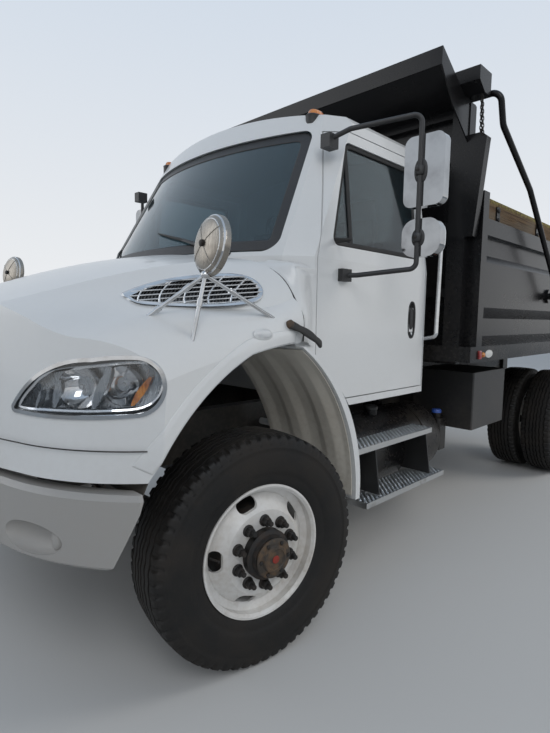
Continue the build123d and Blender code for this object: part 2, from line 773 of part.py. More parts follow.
def intake_outline(grow):
    face = make_face([
        ThreePointArc((446, 1634), (240, 1702), (0, 1731)),
        ThreePointArc((0, 1731), (-66, 1682), (-18, 1617)),
        ThreePointArc((-18, 1617), (200, 1588), (430, 1590)),
        ThreePointArc((430, 1590), (460, 1612), (446, 1634)),
    ])
    return offset(face, amount=grow) if grow else face


def grille_outline():
    return rounded((-430, 1110), (430, 1110), (402, 1498), (-402, 1498), radius=46)


def hood_lug(side):
    """The ear under the hood's front lip that turns on the hinge pin."""
    ear = make_face([
        *Polyline((hood_pivot_x - 12, hood_pivot_z), (hood_pivot_x - 8, 1000), (hood_pivot_x, 1000), (hood_pivot_x + 12, hood_pivot_z)).edges(),
        ThreePointArc((hood_pivot_x - 12, hood_pivot_z), (hood_pivot_x, hood_pivot_z - 12), (hood_pivot_x + 12, hood_pivot_z)),
    ])
    ear -= Pos(hood_pivot_x, hood_pivot_z) * Circle(8 + pin_clearance)
    near, far = sorted((side * 160, side * 172))
    return across(ear, near, far)


def hood_parts():
    outer = hood_volume(0)
    proud = hood_volume(-7)
    deep = hood_volume(10)
    skin = hood()
    lamp = lamp_prism(lamp_outline())
    lamp_hole = lamp_prism(offset(lamp_outline(), amount=-14))
    intake = across(intake_outline(0), 560, 1100)
    intake_hole = across(intake_outline(-12), 560, 1100)
    bezel = ((lamp & proud) - deep) - lamp_hole
    lens = (lamp_hole & outer) - deep
    ring = ((intake - intake_hole) & proud) - deep
    slats = Sketch()
    for step in (-48, -30, -12, 6, 24, 42):
        slats += Pos(197, 1658) * Rot(0, 0, -6) * Pos(0, step) * Rectangle(640, 5)
    louvres = (across(slats & intake_outline(-12), 560, 1100) & outer) - deep
    opening = along(grille_outline(), 700, 1200)
    skin = skin - lamp - other_side(lamp) - intake - other_side(intake) - opening
    skin += hood_lug(1) + hood_lug(-1)
    save("hood_shell", skin)
    save("headlamp_bezels", bezel, other_side(bezel))
    save("headlamp_lenses", lens, other_side(lens))
    save("side_intakes", ring, louvres, other_side(ring), other_side(louvres))
    bars = Sketch()
    for z in range(1120, 1500, 42):
        bars += Pos(0, z) * Rectangle(1000, 16)
    for y in (-260, 0, 260):
        bars += Pos(y, 1305) * Rectangle(14, 420)
    bars &= grille_outline()
    save("grille", (along(bars, 700, 1200) & outer) - hood_volume(hood_gauge))


def hood_mirrors():
    foot_points = ((486, 950, 1535), (409, 1100, 1350), (-138, 1090, 1500))
    joint = (326, 1100, 1697)
    stand = Part()
    for foot in foot_points:
        stand += bar(foot, joint, 8)
    head = (290, 1100, 1810)
    stand += bar(joint, head, 9)
    stand += Pos(*joint) * Sphere(17)
    facing = Plane(origin=head, z_dir=(0.97, -0.15, 0.12))
    disc = facing * Pos(0, 0, -12) * extrude(Circle(115), amount=26)
    dish = facing * Pos(0, 0, 14) * extrude(Circle(115), amount=14, taper=52)
    return (stand - hood_volume(0)) + disc + dish


# Beside the chassis
def fuel_tank():
    centre = (715, 660)
    tank = along(Pos(*centre) * Circle(255), -1950, -720)
    tank = fillet(tank.edges().filter_by(GeomType.CIRCLE), 24)
    for x in (-900, -1750):
        strap = along(Pos(*centre) * (Circle(261) - Circle(254)), x - 30, x + 30)
        arm = block(x - 30, x + 30, rail_outer_y, 560, 780, 960) - along(Pos(*centre) * Circle(254), x - 40, x + 40)
        tank += strap + arm
    tank += Pos(-1330, 760, 905) * Cylinder(46, 60)
    return tank


def step_frame(carried_by):
    """Two grip treads on a pair of hanger plates that clasp what carries them."""
    upper = block(-1495, -662, 982, 1125, 812, 842)
    lower = block(-1590, -700, 985, 1175, 520, 550)
    frame = upper + lower
    for x in (-860, -1440):
        hanger = polygon((900, 812), (1100, 812), (1110, 842), (1150, 560), (1150, 520), (930, 520))
        frame += along(hanger, x - 5, x + 5)
    return frame - carried_by


def rounded_box(x0, x1, y0, y1, z0, z1, radius):
    return fillet(block(x0, x1, y0, y1, z0, z1).edges().filter_by(Axis.Z), radius)


def side_gear():
    tank = fuel_tank()
    tank_room = along(Pos(715, 660) * Circle(255 + seat_clearance), -2000, -700)
    left_steps = step_frame(tank_room + along(Pos(715, 660) * Circle(262), -932, -868))
    battery = rounded_box(-1500, -720, -965, -470, 500, 935, 20)
    battery += block(-1400, -820, -470, -rail_outer_y, 780, 930)
    save("steps", left_steps, other_side(step_frame(other_side(battery))))
    def_tank = rounded_box(-2125, -1985, 560, 930, 560, 800, 30) + Pos(-2060, 870, 815) * Cylinder(34, 40)
    def_tank += block(-2090, -2020, rail_outer_y, 560, 770, 800)
    save("fuel_tanks", tank, def_tank)
    box = rounded_box(-2780, -2170, 600, 1100, 715, 1150, 12)
    for x in (-2300, -2650):
        box += block(x - 35, x + 35, rail_outer_y, 600, 800, 1000)
    save("side_boxes", box, battery)
    pipe = along(Pos(-640, 760) * Circle(150), -2600, -1620)
    pipe = fillet(pipe.edges().filter_by(GeomType.CIRCLE), 30)
    pipe += tube_run([(-2590, -640, 760), (-2780, -640, 760), (-2950, -880, 700)], 52, 90)
    for x in (-1800, -2400):
        pipe += block(x - 30, x + 30, -520, -rail_outer_y, 800, 940)
    save("exhaust", pipe)


def quarter_fender():
    """The fixed rear part of the wheel arch: a wide liner with a painted lip along its kerb edge."""
    def band(grow):
        inner = ThreePointArc((-186, 1408), (-470, 1138), (-630, 586))
        outer = ThreePointArc((-186 - grow * 0.55, 1408 + grow * 0.1), (-470 - grow * 0.8, 1138 + grow * 0.6), (-630 - grow, 586))
        return make_face([inner, outer, Line(inner @ 0, outer @ 0), Line(inner @ 1, outer @ 1)])
    sheet = across(band(8), 560, 1130)
    lip = across(band(36), 1104, 1150)
    stay = bar((-622, rail_outer_y, 900), (-622, 1000, 900), 20)
    stay += block(-640, -574, 560, 620, 885, 915)
    return sheet + lip + stay


def engine():
    block_body = block(-240, 600, -260, 260, 700, 1380)
    head = block(-200, 560, -170, 170, 1380, 1560)
    sump = block(-200, 300, -200, 200, 600, 700)
    gearbox = block(-960, -240, -190, 190, 560, 880)
    body = block_body + head + gearbox
    radiator = block(690, 770, -370, 370, rail_top, 1480)
    radiator += block(600, 690, -50, 50, 1150, 1250)
    for side in (-1, 1):
        body += block(100, 260, *sorted((side * 200, side * (rail_outer_y - rail_gauge))), 800, 880)
    return body, radiator


def grab_handles():
    rail = tube_run([(-1585, 960, 1405), (-1612, 1062, 1430), (-1630, 1062, 2085), (-1585, 930, 2130)], 14, 26)
    return rail - cab_volume(-seat_clearance)


def roof_lamps():
    found = []
    for y in (-717, -175, 0, 175, 717):
        lamp = Pos(-745, y, 2600) * extrude(Ellipse(52, 34), amount=140 - abs(y) * 0.055, taper=4)
        found.append(lamp - cab_volume(-seat_clearance))
    return found


def mud_flaps():
    found = []
    for side in (-1, 1):
        flap = block(-4790, -4780, side * 915 - 300, side * 915 + 300, 330, 900)
        arm_near, arm_far = sorted((side * 380, side * 1200))
        flap += block(-4780, -4755, arm_near, arm_far, 860, 905)
        flap += block(-4760, rail_rear_x, side * 405 - 20, side * 405 + 20, 860, 905)
        found.append(flap)
    return found


# Dump bed
def bed_floor():
    deck = block(bed_rear_x, bed_front_x - headboard_depth, -bed_inner_half_width, bed_inner_half_width,
                 bed_floor_z - bed_floor_gauge, bed_floor_z)
    floor_under = bed_floor_z - bed_floor_gauge
    under_deck = sill_top - seat_clearance
    for step in range(8):
        x = bed_front_x - headboard_depth - 60 - step * 400
        deck += block(x - 30, x + 30, -bed_inner_half_width, bed_inner_half_width, sill_top, floor_under)
    deck += block(bed_rear_x, bed_rear_x + 60, -bed_inner_half_width, bed_inner_half_width, sill_top, floor_under)
    pieces = [deck]
    for side in (-1, 1):
        nose = bed_pivot_z - rail_top
        profile = make_face([
            Line((bed_front_x - headboard_depth, rail_top), (bed_pivot_x, rail_top)),
            RadiusArc((bed_pivot_x, rail_top), (bed_pivot_x - nose, bed_pivot_z), nose),
            *Polyline((bed_pivot_x - nose, bed_pivot_z), (bed_pivot_x - nose, under_deck),
                      (bed_front_x - headboard_depth, under_deck), (bed_front_x - headboard_depth, rail_top)).edges(),
        ])
        sill = across(profile, side * sill_y - sill_width / 2, side * sill_y + sill_width / 2)
        sill -= across(Pos(bed_pivot_x, bed_pivot_z) * Circle(pivot_pin_radius + pin_clearance), -600, 600)
        pieces.append(sill)
    return [*pieces, hoist_bracket(under_deck)]


def hoist_bracket(top):
    """The cross tube between the long sills, with the two ears that take the hoist rod's eye."""
    half = sill_y - sill_width / 2 - seat_clearance
    bracket = block(hoist_eye_x - 70, hoist_eye_x + 70, -half, half, top - 28, top)
    for side in (-1, 1):
        ear = make_face([
            *Polyline((hoist_eye_x - 60, top), (hoist_eye_x + 60, top), (hoist_eye_x + 50, hoist_eye_z)).edges(),
            ThreePointArc((hoist_eye_x + 50, hoist_eye_z), (hoist_eye_x, hoist_eye_z - 50), (hoist_eye_x - 50, hoist_eye_z)),
            Line((hoist_eye_x - 50, hoist_eye_z), (hoist_eye_x - 60, top)),
        ])
        bracket += across(ear, side * 58 - 8, side * 58 + 8)
    return bracket


def side_section():
    """The side wall across: rub rail, sloped ledge, stepped panel and boxed top rail."""
    inner, outer = bed_inner_half_width, bed_half_width
    return polygon(
        (inner, sill_top + 25), (outer, sill_top + 25), (outer, 1360), (1118, 1425), (1118, 1555), (outer - 6, 1630),
        (outer - 6, 1940), (1178, 1992), (1178, 2120), (outer, 2120), (outer, rail_cap_top), (1120, rail_cap_top),
        (1120, 2120), (1100, 2080), (inner + 12, 1900), (inner, 1700),
    )


def bed_side():
    wall = along(side_section(), bed_rear_x, bed_front_x - headboard_depth)
    wall += block(bed_rear_x, bed_rear_x + post_width, bed_inner_half_width, bed_half_width, sill_top + 25, 2400)
    pivot = Pos(bail_pivot_x, bail_pivot_z)
    wall += across(pivot * Circle(60), bed_half_width - 10, bed_half_width + 14)
    wall -= across(pivot * Circle(bail_pin_radius + pin_clearance), bed_half_width - 10, bed_half_width + 20)
    wall += block(bed_front_x - headboard_depth - 90, bed_front_x - headboard_depth, 1090, bed_half_width, sill_top + 25, 2400)
    return wall


def headboard():
    front, back = bed_front_x, bed_front_x - headboard_depth
    plate = block(back, back + 10, -headboard_half_width, headboard_half_width, sill_top + 25, headboard_top)
    for y0, y1 in ((1015, headboard_half_width), (-headboard_half_width, -1015)):
        plate += block(back, front, y0, y1, sill_top + 25, headboard_top)
    for z in (1275, 1700, 2150, 2600, headboard_top - 60):
        plate += block(back, front - 20, -1020, 1020, z, z + 60)
    plate += block(back, front, -bed_half_width, bed_half_width, sill_top + 25, 1360)
    slope = polygon((back, headboard_top - 10), (-1730, headboard_top - 10), (-1400, 3140), (-1400, 3155), (-1406, 3155),
                    (-1735, headboard_top + 12), (back, headboard_top + 12))
    shield = across(slope, -1128, 1128)
    shield += block(-1408, -1400, -1128, 1128, 3052, 3155)
    for side in (-1, 1):
        cheek = polygon((back + 20, headboard_top), (back + 20, 2700), (front - 6, 2700), (-1571, 2862), (-1400, 3052), (-1400, 3150), (-1730, headboard_top))
        shield += across(cheek, side * 1124 - 4, side * 1124 + 4)
    guard = Pos(-1800, 0, 0) * along(polygon((1135, 2095), (1190, 2095), (1250, 2720), (1215, 2750), (1135, 2750)), -70, -4)
    return plate + shield + guard


def tarp_housing():
    seat = headboard_top + 12 + seat_clearance
    profile = polygon((-1826, seat), (-1826, 3100), (-1655, 3100), (-1655, seat + 55), (-1737, seat))
    return across(profile, -1250, 1250)


def side_boards():
    board = block(bed_rear_x + post_width + 1, bed_front_x - headboard_depth - 91, 1128, 1128 + side_board_gauge, rail_cap_top, side_board_top)
    return board, other_side(board)


def tailgate():
    gate = block(tailgate_rear_x + 20, tailgate_front_x, -1090, 1090, bed_floor_z + 5, 2228)
    for z in (bed_floor_z + 5, 1760, 2158):
        gate += block(tailgate_rear_x, tailgate_front_x - 20, -1090, 1090, z, z + 70)
    for y in (-1090, -545, -35, 475, 1020):
        gate += block(tailgate_rear_x + 6, tailgate_front_x - 20, y, y + 70, bed_floor_z + 5, 2228)
    for side in (-1, 1):
        x = tailgate_front_x - 34
        gate += block(x - 22, x + 22, side * 1000 - 20, side * 1000 + 20, 2200, tailgate_hinge_z)
        gate += across(Pos(x, tailgate_hinge_z) * Circle(34), side * 1000 - 20, side * 1000 + 20)
        near, far = sorted((side * 1000, side * 1060))
        gate += across(Pos(x, tailgate_hinge_z) * Circle(tailgate_hinge_radius), near, far)
    return gate


def gate_ears():
    """Post-top ears that take the tailgate's pins."""
    x = tailgate_front_x - 34
    ear = make_face([
        *Polyline((bed_rear_x + 60, 2280), (x, tailgate_hinge_z - 40)).edges(),
        ThreePointArc((x, tailgate_hinge_z - 40), (x - 40, tailgate_hinge_z), (x, tailgate_hinge_z + 40)),
        *Polyline((x, tailgate_hinge_z + 40), (bed_rear_x + 60, 2400), (bed_rear_x + 60, 2280)).edges(),
    ])
    plate = across(ear, 1026, 1046) + block(bed_rear_x, bed_rear_x + 60, 1026, bed_inner_half_width, 2280, 2400)
    return plate - across(Pos(x, tailgate_hinge_z) * Circle(tailgate_hinge_radius + pin_clearance), 1000, 1100)


def tail_lamps():
    found = []
    for z in (1480, 1580):
        lamp = Pos(bed_rear_x, 1160, z) * Rot(0, -90, 0) * extrude(Circle(46), amount=26, taper=6)
        found += [lamp, other_side(lamp)]
    return found


def tarp_bail():
    """Both arms and the bar between them, bent from one run of tube, on a pin at each end."""
    arm = [
        (bail_pivot_x, bail_y, bail_pivot_z), (-3041, bail_y, 2026), (-2493, bail_y, 2499),
        (-1925, bail_y, 2802), (bail_bar_x, bail_y, bail_bar_z),
    ]
    other = [(x, -y, z) for x, y, z in reversed(arm)]
    bail = tube_run(arm + other, bail_radius, 60)
    for side in (-1, 1):
        near, far = sorted((side * (bail_y - bail_radius), side * (bail_y + bail_radius)))
        bail += across(Pos(bail_pivot_x, bail_pivot_z) * Circle(42), near, far)
        near, far = sorted((side * (bed_half_width - 4), side * bail_y))
        bail += across(Pos(bail_pivot_x, bail_pivot_z) * Circle(bail_pin_radius), near, far)
    return bail


def hoist():
    run = Vector(hoist_eye_x - hoist_base_x, 0, hoist_eye_z - hoist_base_z)
    length = run.length
    line = Plane(origin=(hoist_base_x, 0, hoist_base_z), z_dir=run, x_dir=(0, 1, 0))
    barrel_end = length - 170
    barrel = line * extrude(Circle(hoist_barrel_radius), amount=barrel_end)
    barrel -= line * Pos(0, 0, 90) * extrude(Circle(hoist_rod_radius + pin_clearance), amount=length)
    barrel -= line * extrude(Rectangle(200, 300), amount=60)
    lug = line * extrude(Rectangle(120, 90), amount=90)
    eye = across(Pos(hoist_base_x, hoist_base_z) * Circle(48), -70, 70)
    pin = across(Pos(hoist_base_x, hoist_base_z) * Circle(25), -104, 104)
    cylinder = barrel + lug + eye + pin
    rod = line * Pos(0, 0, 100) * extrude(Circle(hoist_rod_radius), amount=length - 100)
    rod += across(Pos(hoist_eye_x, hoist_eye_z) * Circle(46), -44, 44)
    return cylinder, rod


def rear_hinge_ears(rail):
    """Plates on the rail's web that carry the bed's pivot pins."""
    face = make_face([
        *Polyline((bed_pivot_x + 70, rail_top - 120), (bed_pivot_x + 60, bed_pivot_z)).edges(),
        ThreePointArc((bed_pivot_x + 60, bed_pivot_z), (bed_pivot_x, bed_pivot_z + 60), (bed_pivot_x - 60, bed_pivot_z)),
        *Polyline((bed_pivot_x - 60, bed_pivot_z), (bed_pivot_x - 70, rail_top - 120), (bed_pivot_x + 70, rail_top - 120)).edges(),
    ])
    plate_y = max(rail_outer_y, sill_y + sill_width / 2 + moving_clearance)
    foot = face & (Pos(bed_pivot_x, rail_top - 106) * Rectangle(200, 200))
    plate = across(face, plate_y, plate_y + 20) + across(foot, rail_outer_y, plate_y + 20)
    pin = across(Pos(bed_pivot_x, bed_pivot_z) * Circle(pivot_pin_radius), sill_y - sill_width / 2 - 10, plate_y + 20)
    return rail + plate + pin


def main():
    rail = rear_hinge_ears(frame_rail())
    save("frame_rail_left", rail)
    save("frame_rail_right", other_side(rail))
    save("crossmembers", *crossmembers(), hitch_plate())
    save("front_axle", front_axle())
    save("rear_axle", rear_axle())
    save("drive_shaft", drive_shaft())
    save("springs", *springs())
    save("front_bumper", front_bumper())
    front_wheels()
    rear_wheels()
    save("cab_shell", cab())
    save("cab_glass", *glazing())
    save("dashboard", dashboard())
    save("seats", *seats())
    doors()
    hood_parts()
    mirror = hood_mirrors()
    save("hood_mirrors", mirror, other_side(mirror))
    side_gear()
    fender = quarter_fender()
    save("quarter_fenders", fender, other_side(fender))
    body, radiator = engine()
    save("engine", body, radiator)
    handle = grab_handles()
    save("grab_handles", handle, other_side(handle))
    save("roof_lamps", *roof_lamps())
    save("mud_flaps", *mud_flaps())
    side = bed_side() + gate_ears()
    save("bed_floor", *bed_floor())
    save("bed_side_left", side)
    save("bed_side_right", other_side(side))
    save("headboard", headboard(), tarp_housing())
    save("side_boards", *side_boards())
    save("tail_lamps", *tail_lamps())
    save("tailgate", tailgate())
    save("tarp_bail", tarp_bail())
    cylinder, rod = hoist()
    save("hoist_cylinder", cylinder)
    save("hoist_rod", rod)


main()
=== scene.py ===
import bmesh
import bpy
import json
import math
import numpy as np
from mathutils import Matrix, Vector


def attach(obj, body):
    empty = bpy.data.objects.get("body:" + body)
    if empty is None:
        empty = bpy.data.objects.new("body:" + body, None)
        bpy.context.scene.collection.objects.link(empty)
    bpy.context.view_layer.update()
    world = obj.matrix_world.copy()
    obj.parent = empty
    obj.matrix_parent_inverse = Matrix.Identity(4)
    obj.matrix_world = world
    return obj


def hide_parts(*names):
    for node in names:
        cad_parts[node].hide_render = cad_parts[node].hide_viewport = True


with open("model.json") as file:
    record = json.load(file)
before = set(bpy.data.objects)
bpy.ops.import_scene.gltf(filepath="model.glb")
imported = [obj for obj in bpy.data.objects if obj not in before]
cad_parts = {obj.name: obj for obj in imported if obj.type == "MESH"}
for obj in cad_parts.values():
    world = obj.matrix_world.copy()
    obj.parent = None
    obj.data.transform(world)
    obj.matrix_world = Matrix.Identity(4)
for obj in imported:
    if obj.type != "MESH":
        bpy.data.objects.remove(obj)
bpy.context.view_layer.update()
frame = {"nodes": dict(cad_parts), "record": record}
nodes = frame["nodes"]

# Metres and degrees. The front axle stands at axleX, and every x read off the truck is taken from there.
axleX = 1.969
sides = ((1, "left"), (-1, "right"))
mergeReach = 1e-5
sharpAngle = 38


def at(x, y, z):
    return np.array([x + axleX, y, z], float)


# Shapes as numpy grids


def gridFaces(rows, columns, closeRows, closeColumns):
    # Quad (i, j) joins the grid's points i, i+1 by j, j+1, wrapping where that way is closed.
    i = np.arange(rows if closeRows else rows - 1)[:, None]
    j = np.arange(columns if closeColumns else columns - 1)[None, :]
    low, high = i * columns, ((i + 1) % rows) * columns
    near, far = j, (j + 1) % columns
    return np.stack([low + near, low + far, high + far, high + near], -1).reshape(-1, 4)


class Piece:
    # Gathers grids of points into one mesh that rides on one body.
    def __init__(self, name):
        self.name = name
        self.points, self.faces, self.finishOf, self.finishes, self.maps = [], [], [], [], []
        self.count = 0

    def grid(self, points, finish, closeRows=False, closeColumns=True):
        rows, columns = points.shape[:2]
        if finish not in self.finishes:
            self.finishes.append(finish)
        faces = gridFaces(rows, columns, closeRows, closeColumns) + self.count
        self.points.append(points.reshape(-1, 3))
        self.faces.append(faces)
        self.finishOf.append(np.full(len(faces), self.finishes.index(finish)))
        along, over = np.meshgrid(np.linspace(0, 1, rows), np.linspace(0, 1, columns), indexing="ij")
        self.maps.append(np.stack([along, over], -1).reshape(-1, 2))
        self.count += rows * columns
        return self

    def both(self, points, finish, **closed):
        # The same grid on the truck's other side too.
        self.grid(points, finish, **closed)
        return self.grid(points * [1, -1, 1], finish, **closed)

    def ride(self, body, slot, stands=()):
        mesh = bpy.data.meshes.new(self.name)
        faces, finishOf = np.concatenate(self.faces), np.concatenate(self.finishOf)
        mesh.from_pydata(np.concatenate(self.points).tolist(), [], faces.tolist())
        mesh.polygons.foreach_set("material_index", finishOf.astype(np.int32))
        layer = mesh.uv_layers.new(name="laid")
        layer.data.foreach_set("uv", np.concatenate(self.maps)[faces.ravel()].astype(np.float32).ravel())
        for finish in self.finishes:
            mesh.materials.append(finish.material)
        work = bmesh.new()
        work.from_mesh(mesh)
        bmesh.ops.remove_doubles(work, verts=work.verts, dist=mergeReach)
        bmesh.ops.recalc_face_normals(work, faces=work.faces)
        work.to_mesh(mesh)
        work.free()
        mesh.polygons.foreach_set("use_smooth", np.full(len(mesh.polygons), True))
        mesh.set_sharp_from_angle(angle=math.radians(sharpAngle))
        made = bpy.data.objects.new(self.name, mesh)
        bpy.context.scene.collection.objects.link(made)
        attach(made, body)
        if stands:
            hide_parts(*stands)
        return made


def turn(points, degrees):
    # Points turned about the upright line through the origin.
    angle = math.radians(degrees)
    matrix = np.array([[math.cos(angle), -math.sin(angle), 0], [math.sin(angle), math.cos(angle), 0], [0, 0, 1]])
    return points @ matrix.T


def axes(forward, up=(0, 0, 1)):
    # Right, up and forward unit vectors for something that faces forward.
    forward = np.array(forward, float) / np.linalg.norm(forward)
    right = np.cross(up, forward)
    right /= np.linalg.norm(right)
    return right, np.cross(forward, right), forward


def lathe(profile, centre, axis, steps=32):
    # Each profile point (radius, height) goes round the axis: centre + height * axis + radius * (cos a, sin a).
    right, up, forward = axes(axis, (0, 0, 1) if abs(axis[2]) < 0.9 else (1, 0, 0))
    angle = np.linspace(0, 2 * np.pi, steps, endpoint=False)
    profile = np.array(profile, float)
    spoke = np.cos(angle)[:, None] * right + np.sin(angle)[:, None] * up
    return np.array(centre) + profile[:, 1, None, None] * forward + profile[:, 0, None, None] * spoke[None]


def carried(outline, path, up=(0, 0, 1), swell=None):
    # An outline (side, up) carried along a path: path point + side * across + up * over, square to the path. Both ends
    # close in the path's end points.
    path = np.array(path, float)
    outline = np.array(outline, float)
    ahead = np.gradient(path, axis=0)
    ahead /= np.linalg.norm(ahead, axis=1)[:, None]
    across = np.cross(ahead, up)
    across /= np.linalg.norm(across, axis=1)[:, None]
    over = np.cross(across, ahead)
    size = np.ones(len(path)) if swell is None else np.array(swell)
    square = outline[None, :, 0, None] * across[:, None] + outline[None, :, 1, None] * over[:, None]
    rings = path[:, None] + size[:, None, None] * square
    first, last = (np.repeat(end[:, None], len(outline), 1) for end in (path[:1], path[-1:]))
    return np.concatenate([first, rings, last])


def outward(loop):
    # Unit normals of a closed anticlockwise loop, each square to the line between the point's two neighbours.
    edge = np.roll(loop, -1, 0) - np.roll(loop, 1, 0)
    normal = np.stack([edge[:, 1], -edge[:, 0]], -1)
    return normal / (np.linalg.norm(normal, axis=1)[:, None] + 1e-12)


def drawnIn(loop, inset):
    return loop - inset * outward(loop)


def stacked(outline, rings, origin, facing, up=(0, 0, 1)):
    # Copies of an outline, each drawn in by its ring's inset and lifted to its ring's height, closed at both ends.
    outline, rings, origin = np.array(outline, float), np.array(rings, float), np.array(origin)
    flat = outline[None] - rings[:, 0, None, None] * outward(outline)[None]
    right, over, forward = axes(facing, up)
    solid = origin + flat[..., 0, None] * right + flat[..., 1, None] * over + rings[:, 1, None, None] * forward
    middle = origin + outline.mean(0)[0] * right + outline.mean(0)[1] * over
    first, last = (np.repeat((middle + lift * forward)[None, None], len(outline), 1) for lift in rings[[0, -1], 1])
    return np.concatenate([first, solid, last])


def oval(halfWide, halfHigh, power=2.0, count=48):
    # A superellipse: |x/a|^p + |y/b|^p = 1.
    angle = np.linspace(0, 2 * np.pi, count, endpoint=False)
    c, s = np.cos(angle), np.sin(angle)
    x = halfWide * np.sign(c) * np.abs(c) ** (2 / power)
    y = halfHigh * np.sign(s) * np.abs(s) ** (2 / power)
    return np.stack([x, y], -1)


def curve(points, count=40):
    # A Catmull-Rom curve through the points, sampled evenly in its parameter.
    points = np.array(points, float)
    padded = np.concatenate([2 * points[:1] - points[1:2], points, 2 * points[-1:] - points[-2:-1]])
    place = np.linspace(0, len(points) - 1 - 1e-9, count)
    i = place.astype(int)
    t = (place - i)[:, None]
    a, b, c, d = padded[i], padded[i + 1], padded[i + 2], padded[i + 3]
    return 0.5 * (2 * b + (c - a) * t + (2 * a - 5 * b + 4 * c - d) * t ** 2 + (3 * b - a - 3 * c + d) * t ** 3)


def roundedLoop(corners, radius, perCorner=8):
    # A closed polygon whose corners are quadratic curves from a radius before to a radius after each corner.
    corners = np.array(corners, float)
    t = np.linspace(0, 1, perCorner)[:, None]
    before = np.roll(corners, 1, 0) - corners
    after = np.roll(corners, -1, 0) - corners
    start = corners + radius * before / np.linalg.norm(before, axis=1)[:, None]
    end = corners + radius * after / np.linalg.norm(after, axis=1)[:, None]
    arcs = (1 - t) ** 2 * start[:, None] + 2 * t * (1 - t) * corners[:, None] + t ** 2 * end[:, None]
    return arcs.reshape(-1, 2)


def evenLoop(loop, count):
    # The closed loop read off at even steps of its length.
    ring = np.concatenate([loop, loop[:1]])
    run = np.concatenate([[0], np.cumsum(np.linalg.norm(np.diff(ring, axis=0), axis=1))])
    place = np.linspace(0, run[-1], count, endpoint=False)
    return np.stack([np.interp(place, run, ring[:, 0]), np.interp(place, run, ring[:, 1])], -1)


def anticlockwise(loop):
    area = np.sum(loop[:, 0] * np.roll(loop[:, 1], -1) - np.roll(loop[:, 0], -1) * loop[:, 1])
    return loop if area > 0 else loop[::-1]


def closedCurve(points, count, perPoint=40):
    # A Catmull-Rom curve that comes back to its first point, read off evenly.
    ring = curve(np.concatenate([points[-2:], points, points[:2]]), perPoint * (len(points) + 3))
    first, last = 2 * perPoint, perPoint * (len(points) + 2)
    return anticlockwise(evenLoop(ring[first:last], count))


def arcThrough(first, middle, last, count):
    # The circle through three points: the centre is as far from all three.
    a, b, c = (np.array(point, float) for point in (first, middle, last))
    centre = np.linalg.solve(2 * np.array([b - a, c - a]), np.array([b @ b - a @ a, c @ c - a @ a]))
    start, half, end = (math.atan2(*(point - centre)[::-1]) for point in (a, b, c))
    sweep = (end - start) % (2 * math.pi)
    if (half - start) % (2 * math.pi) > sweep:
        sweep -= 2 * math.pi
    angle = start + sweep * np.linspace(0, 1, count)
    return centre + np.linalg.norm(a - centre) * np.stack([np.cos(angle), np.sin(angle)], -1)


def within(loop, points):
    # Whether each point lies in the loop: the line to its right crosses the loop an odd number of times.
    start, end = loop[None], np.roll(loop, -1, 0)[None]
    x, y = points[:, 0, None], points[:, 1, None]
    spans = (start[..., 1] > y) != (end[..., 1] > y)
    rise = np.where(end[..., 1] == start[..., 1], 1, end[..., 1] - start[..., 1])
    return (spans & (x < (end[..., 0] - start[..., 0]) * (y - start[..., 1]) / rise + start[..., 0])).sum(1) % 2 == 1


def hoop(loop, layers, place):
    # A ring of the loop: its section is the list of insets and depths, one row of points for each.
    rings = [drawnIn(loop, inset) for inset, depth in layers]
    return np.stack([place(ring[:, 0], ring[:, 1], layer[1]) for ring, layer in zip(rings, layers)])


def slab(loop, layers, place):
    # The same rows, closed by a middle point at both ends.
    middle = np.repeat(loop.mean(0)[None], len(loop), 0)
    first, last = (place(middle[:, 0], middle[:, 1], layer[1])[None] for layer in (layers[0], layers[-1]))
    return np.concatenate([first, hoop(loop, layers, place), last])


def sheet(outer, inner):
    # Two grids, one over the other, made one closed sheet: both come together in a middle row at each end.
    middle = (outer + inner) / 2
    face, back = (np.concatenate([middle[:1], side, middle[-1:]]) for side in (outer, inner))
    return np.concatenate([face, back[:, ::-1]], 1)


def keptMesh(made):
    # What the modifiers give is written into the mesh, and they are taken off.
    bpy.context.view_layer.update()
    finished = bpy.data.meshes.new_from_object(made.evaluated_get(bpy.context.evaluated_depsgraph_get()))
    made.modifiers.clear()
    made.data = finished


def laidOn(made, target, direction, lift, thickness, relief=None):
    # A flat grid pressed along one axis on to a CAD node, then given a relief, which is (x, y, z) added to each point,
    # and a thickness.
    whole = bpy.data.meshes.new("surface")
    work = bmesh.new()
    work.from_mesh(nodes[target].data)
    bmesh.ops.remove_doubles(work, verts=work.verts, dist=mergeReach)
    work.to_mesh(whole)
    work.free()
    surface = bpy.data.objects.new("surface", whole)
    bpy.context.scene.collection.objects.link(surface)
    wrap = made.modifiers.new("wrap", "SHRINKWRAP")
    wrap.target = surface
    wrap.wrap_method = "PROJECT"
    wrap.wrap_mode = "ABOVE_SURFACE"
    wrap.use_project_x, wrap.use_project_y, wrap.use_project_z = direction
    wrap.use_negative_direction = True
    wrap.use_positive_direction = True
    wrap.offset = lift
    keptMesh(made)
    if relief is not None:
        flat = np.empty(len(made.data.vertices) * 3)
        made.data.vertices.foreach_get("co", flat)
        made.data.vertices.foreach_set("co", flat + relief.ravel())
        made.data.update()
    solid = made.modifiers.new("thick", "SOLIDIFY")
    solid.thickness = thickness
    solid.offset = 0
    keptMesh(made)
    bpy.data.objects.remove(surface)


# Finishes


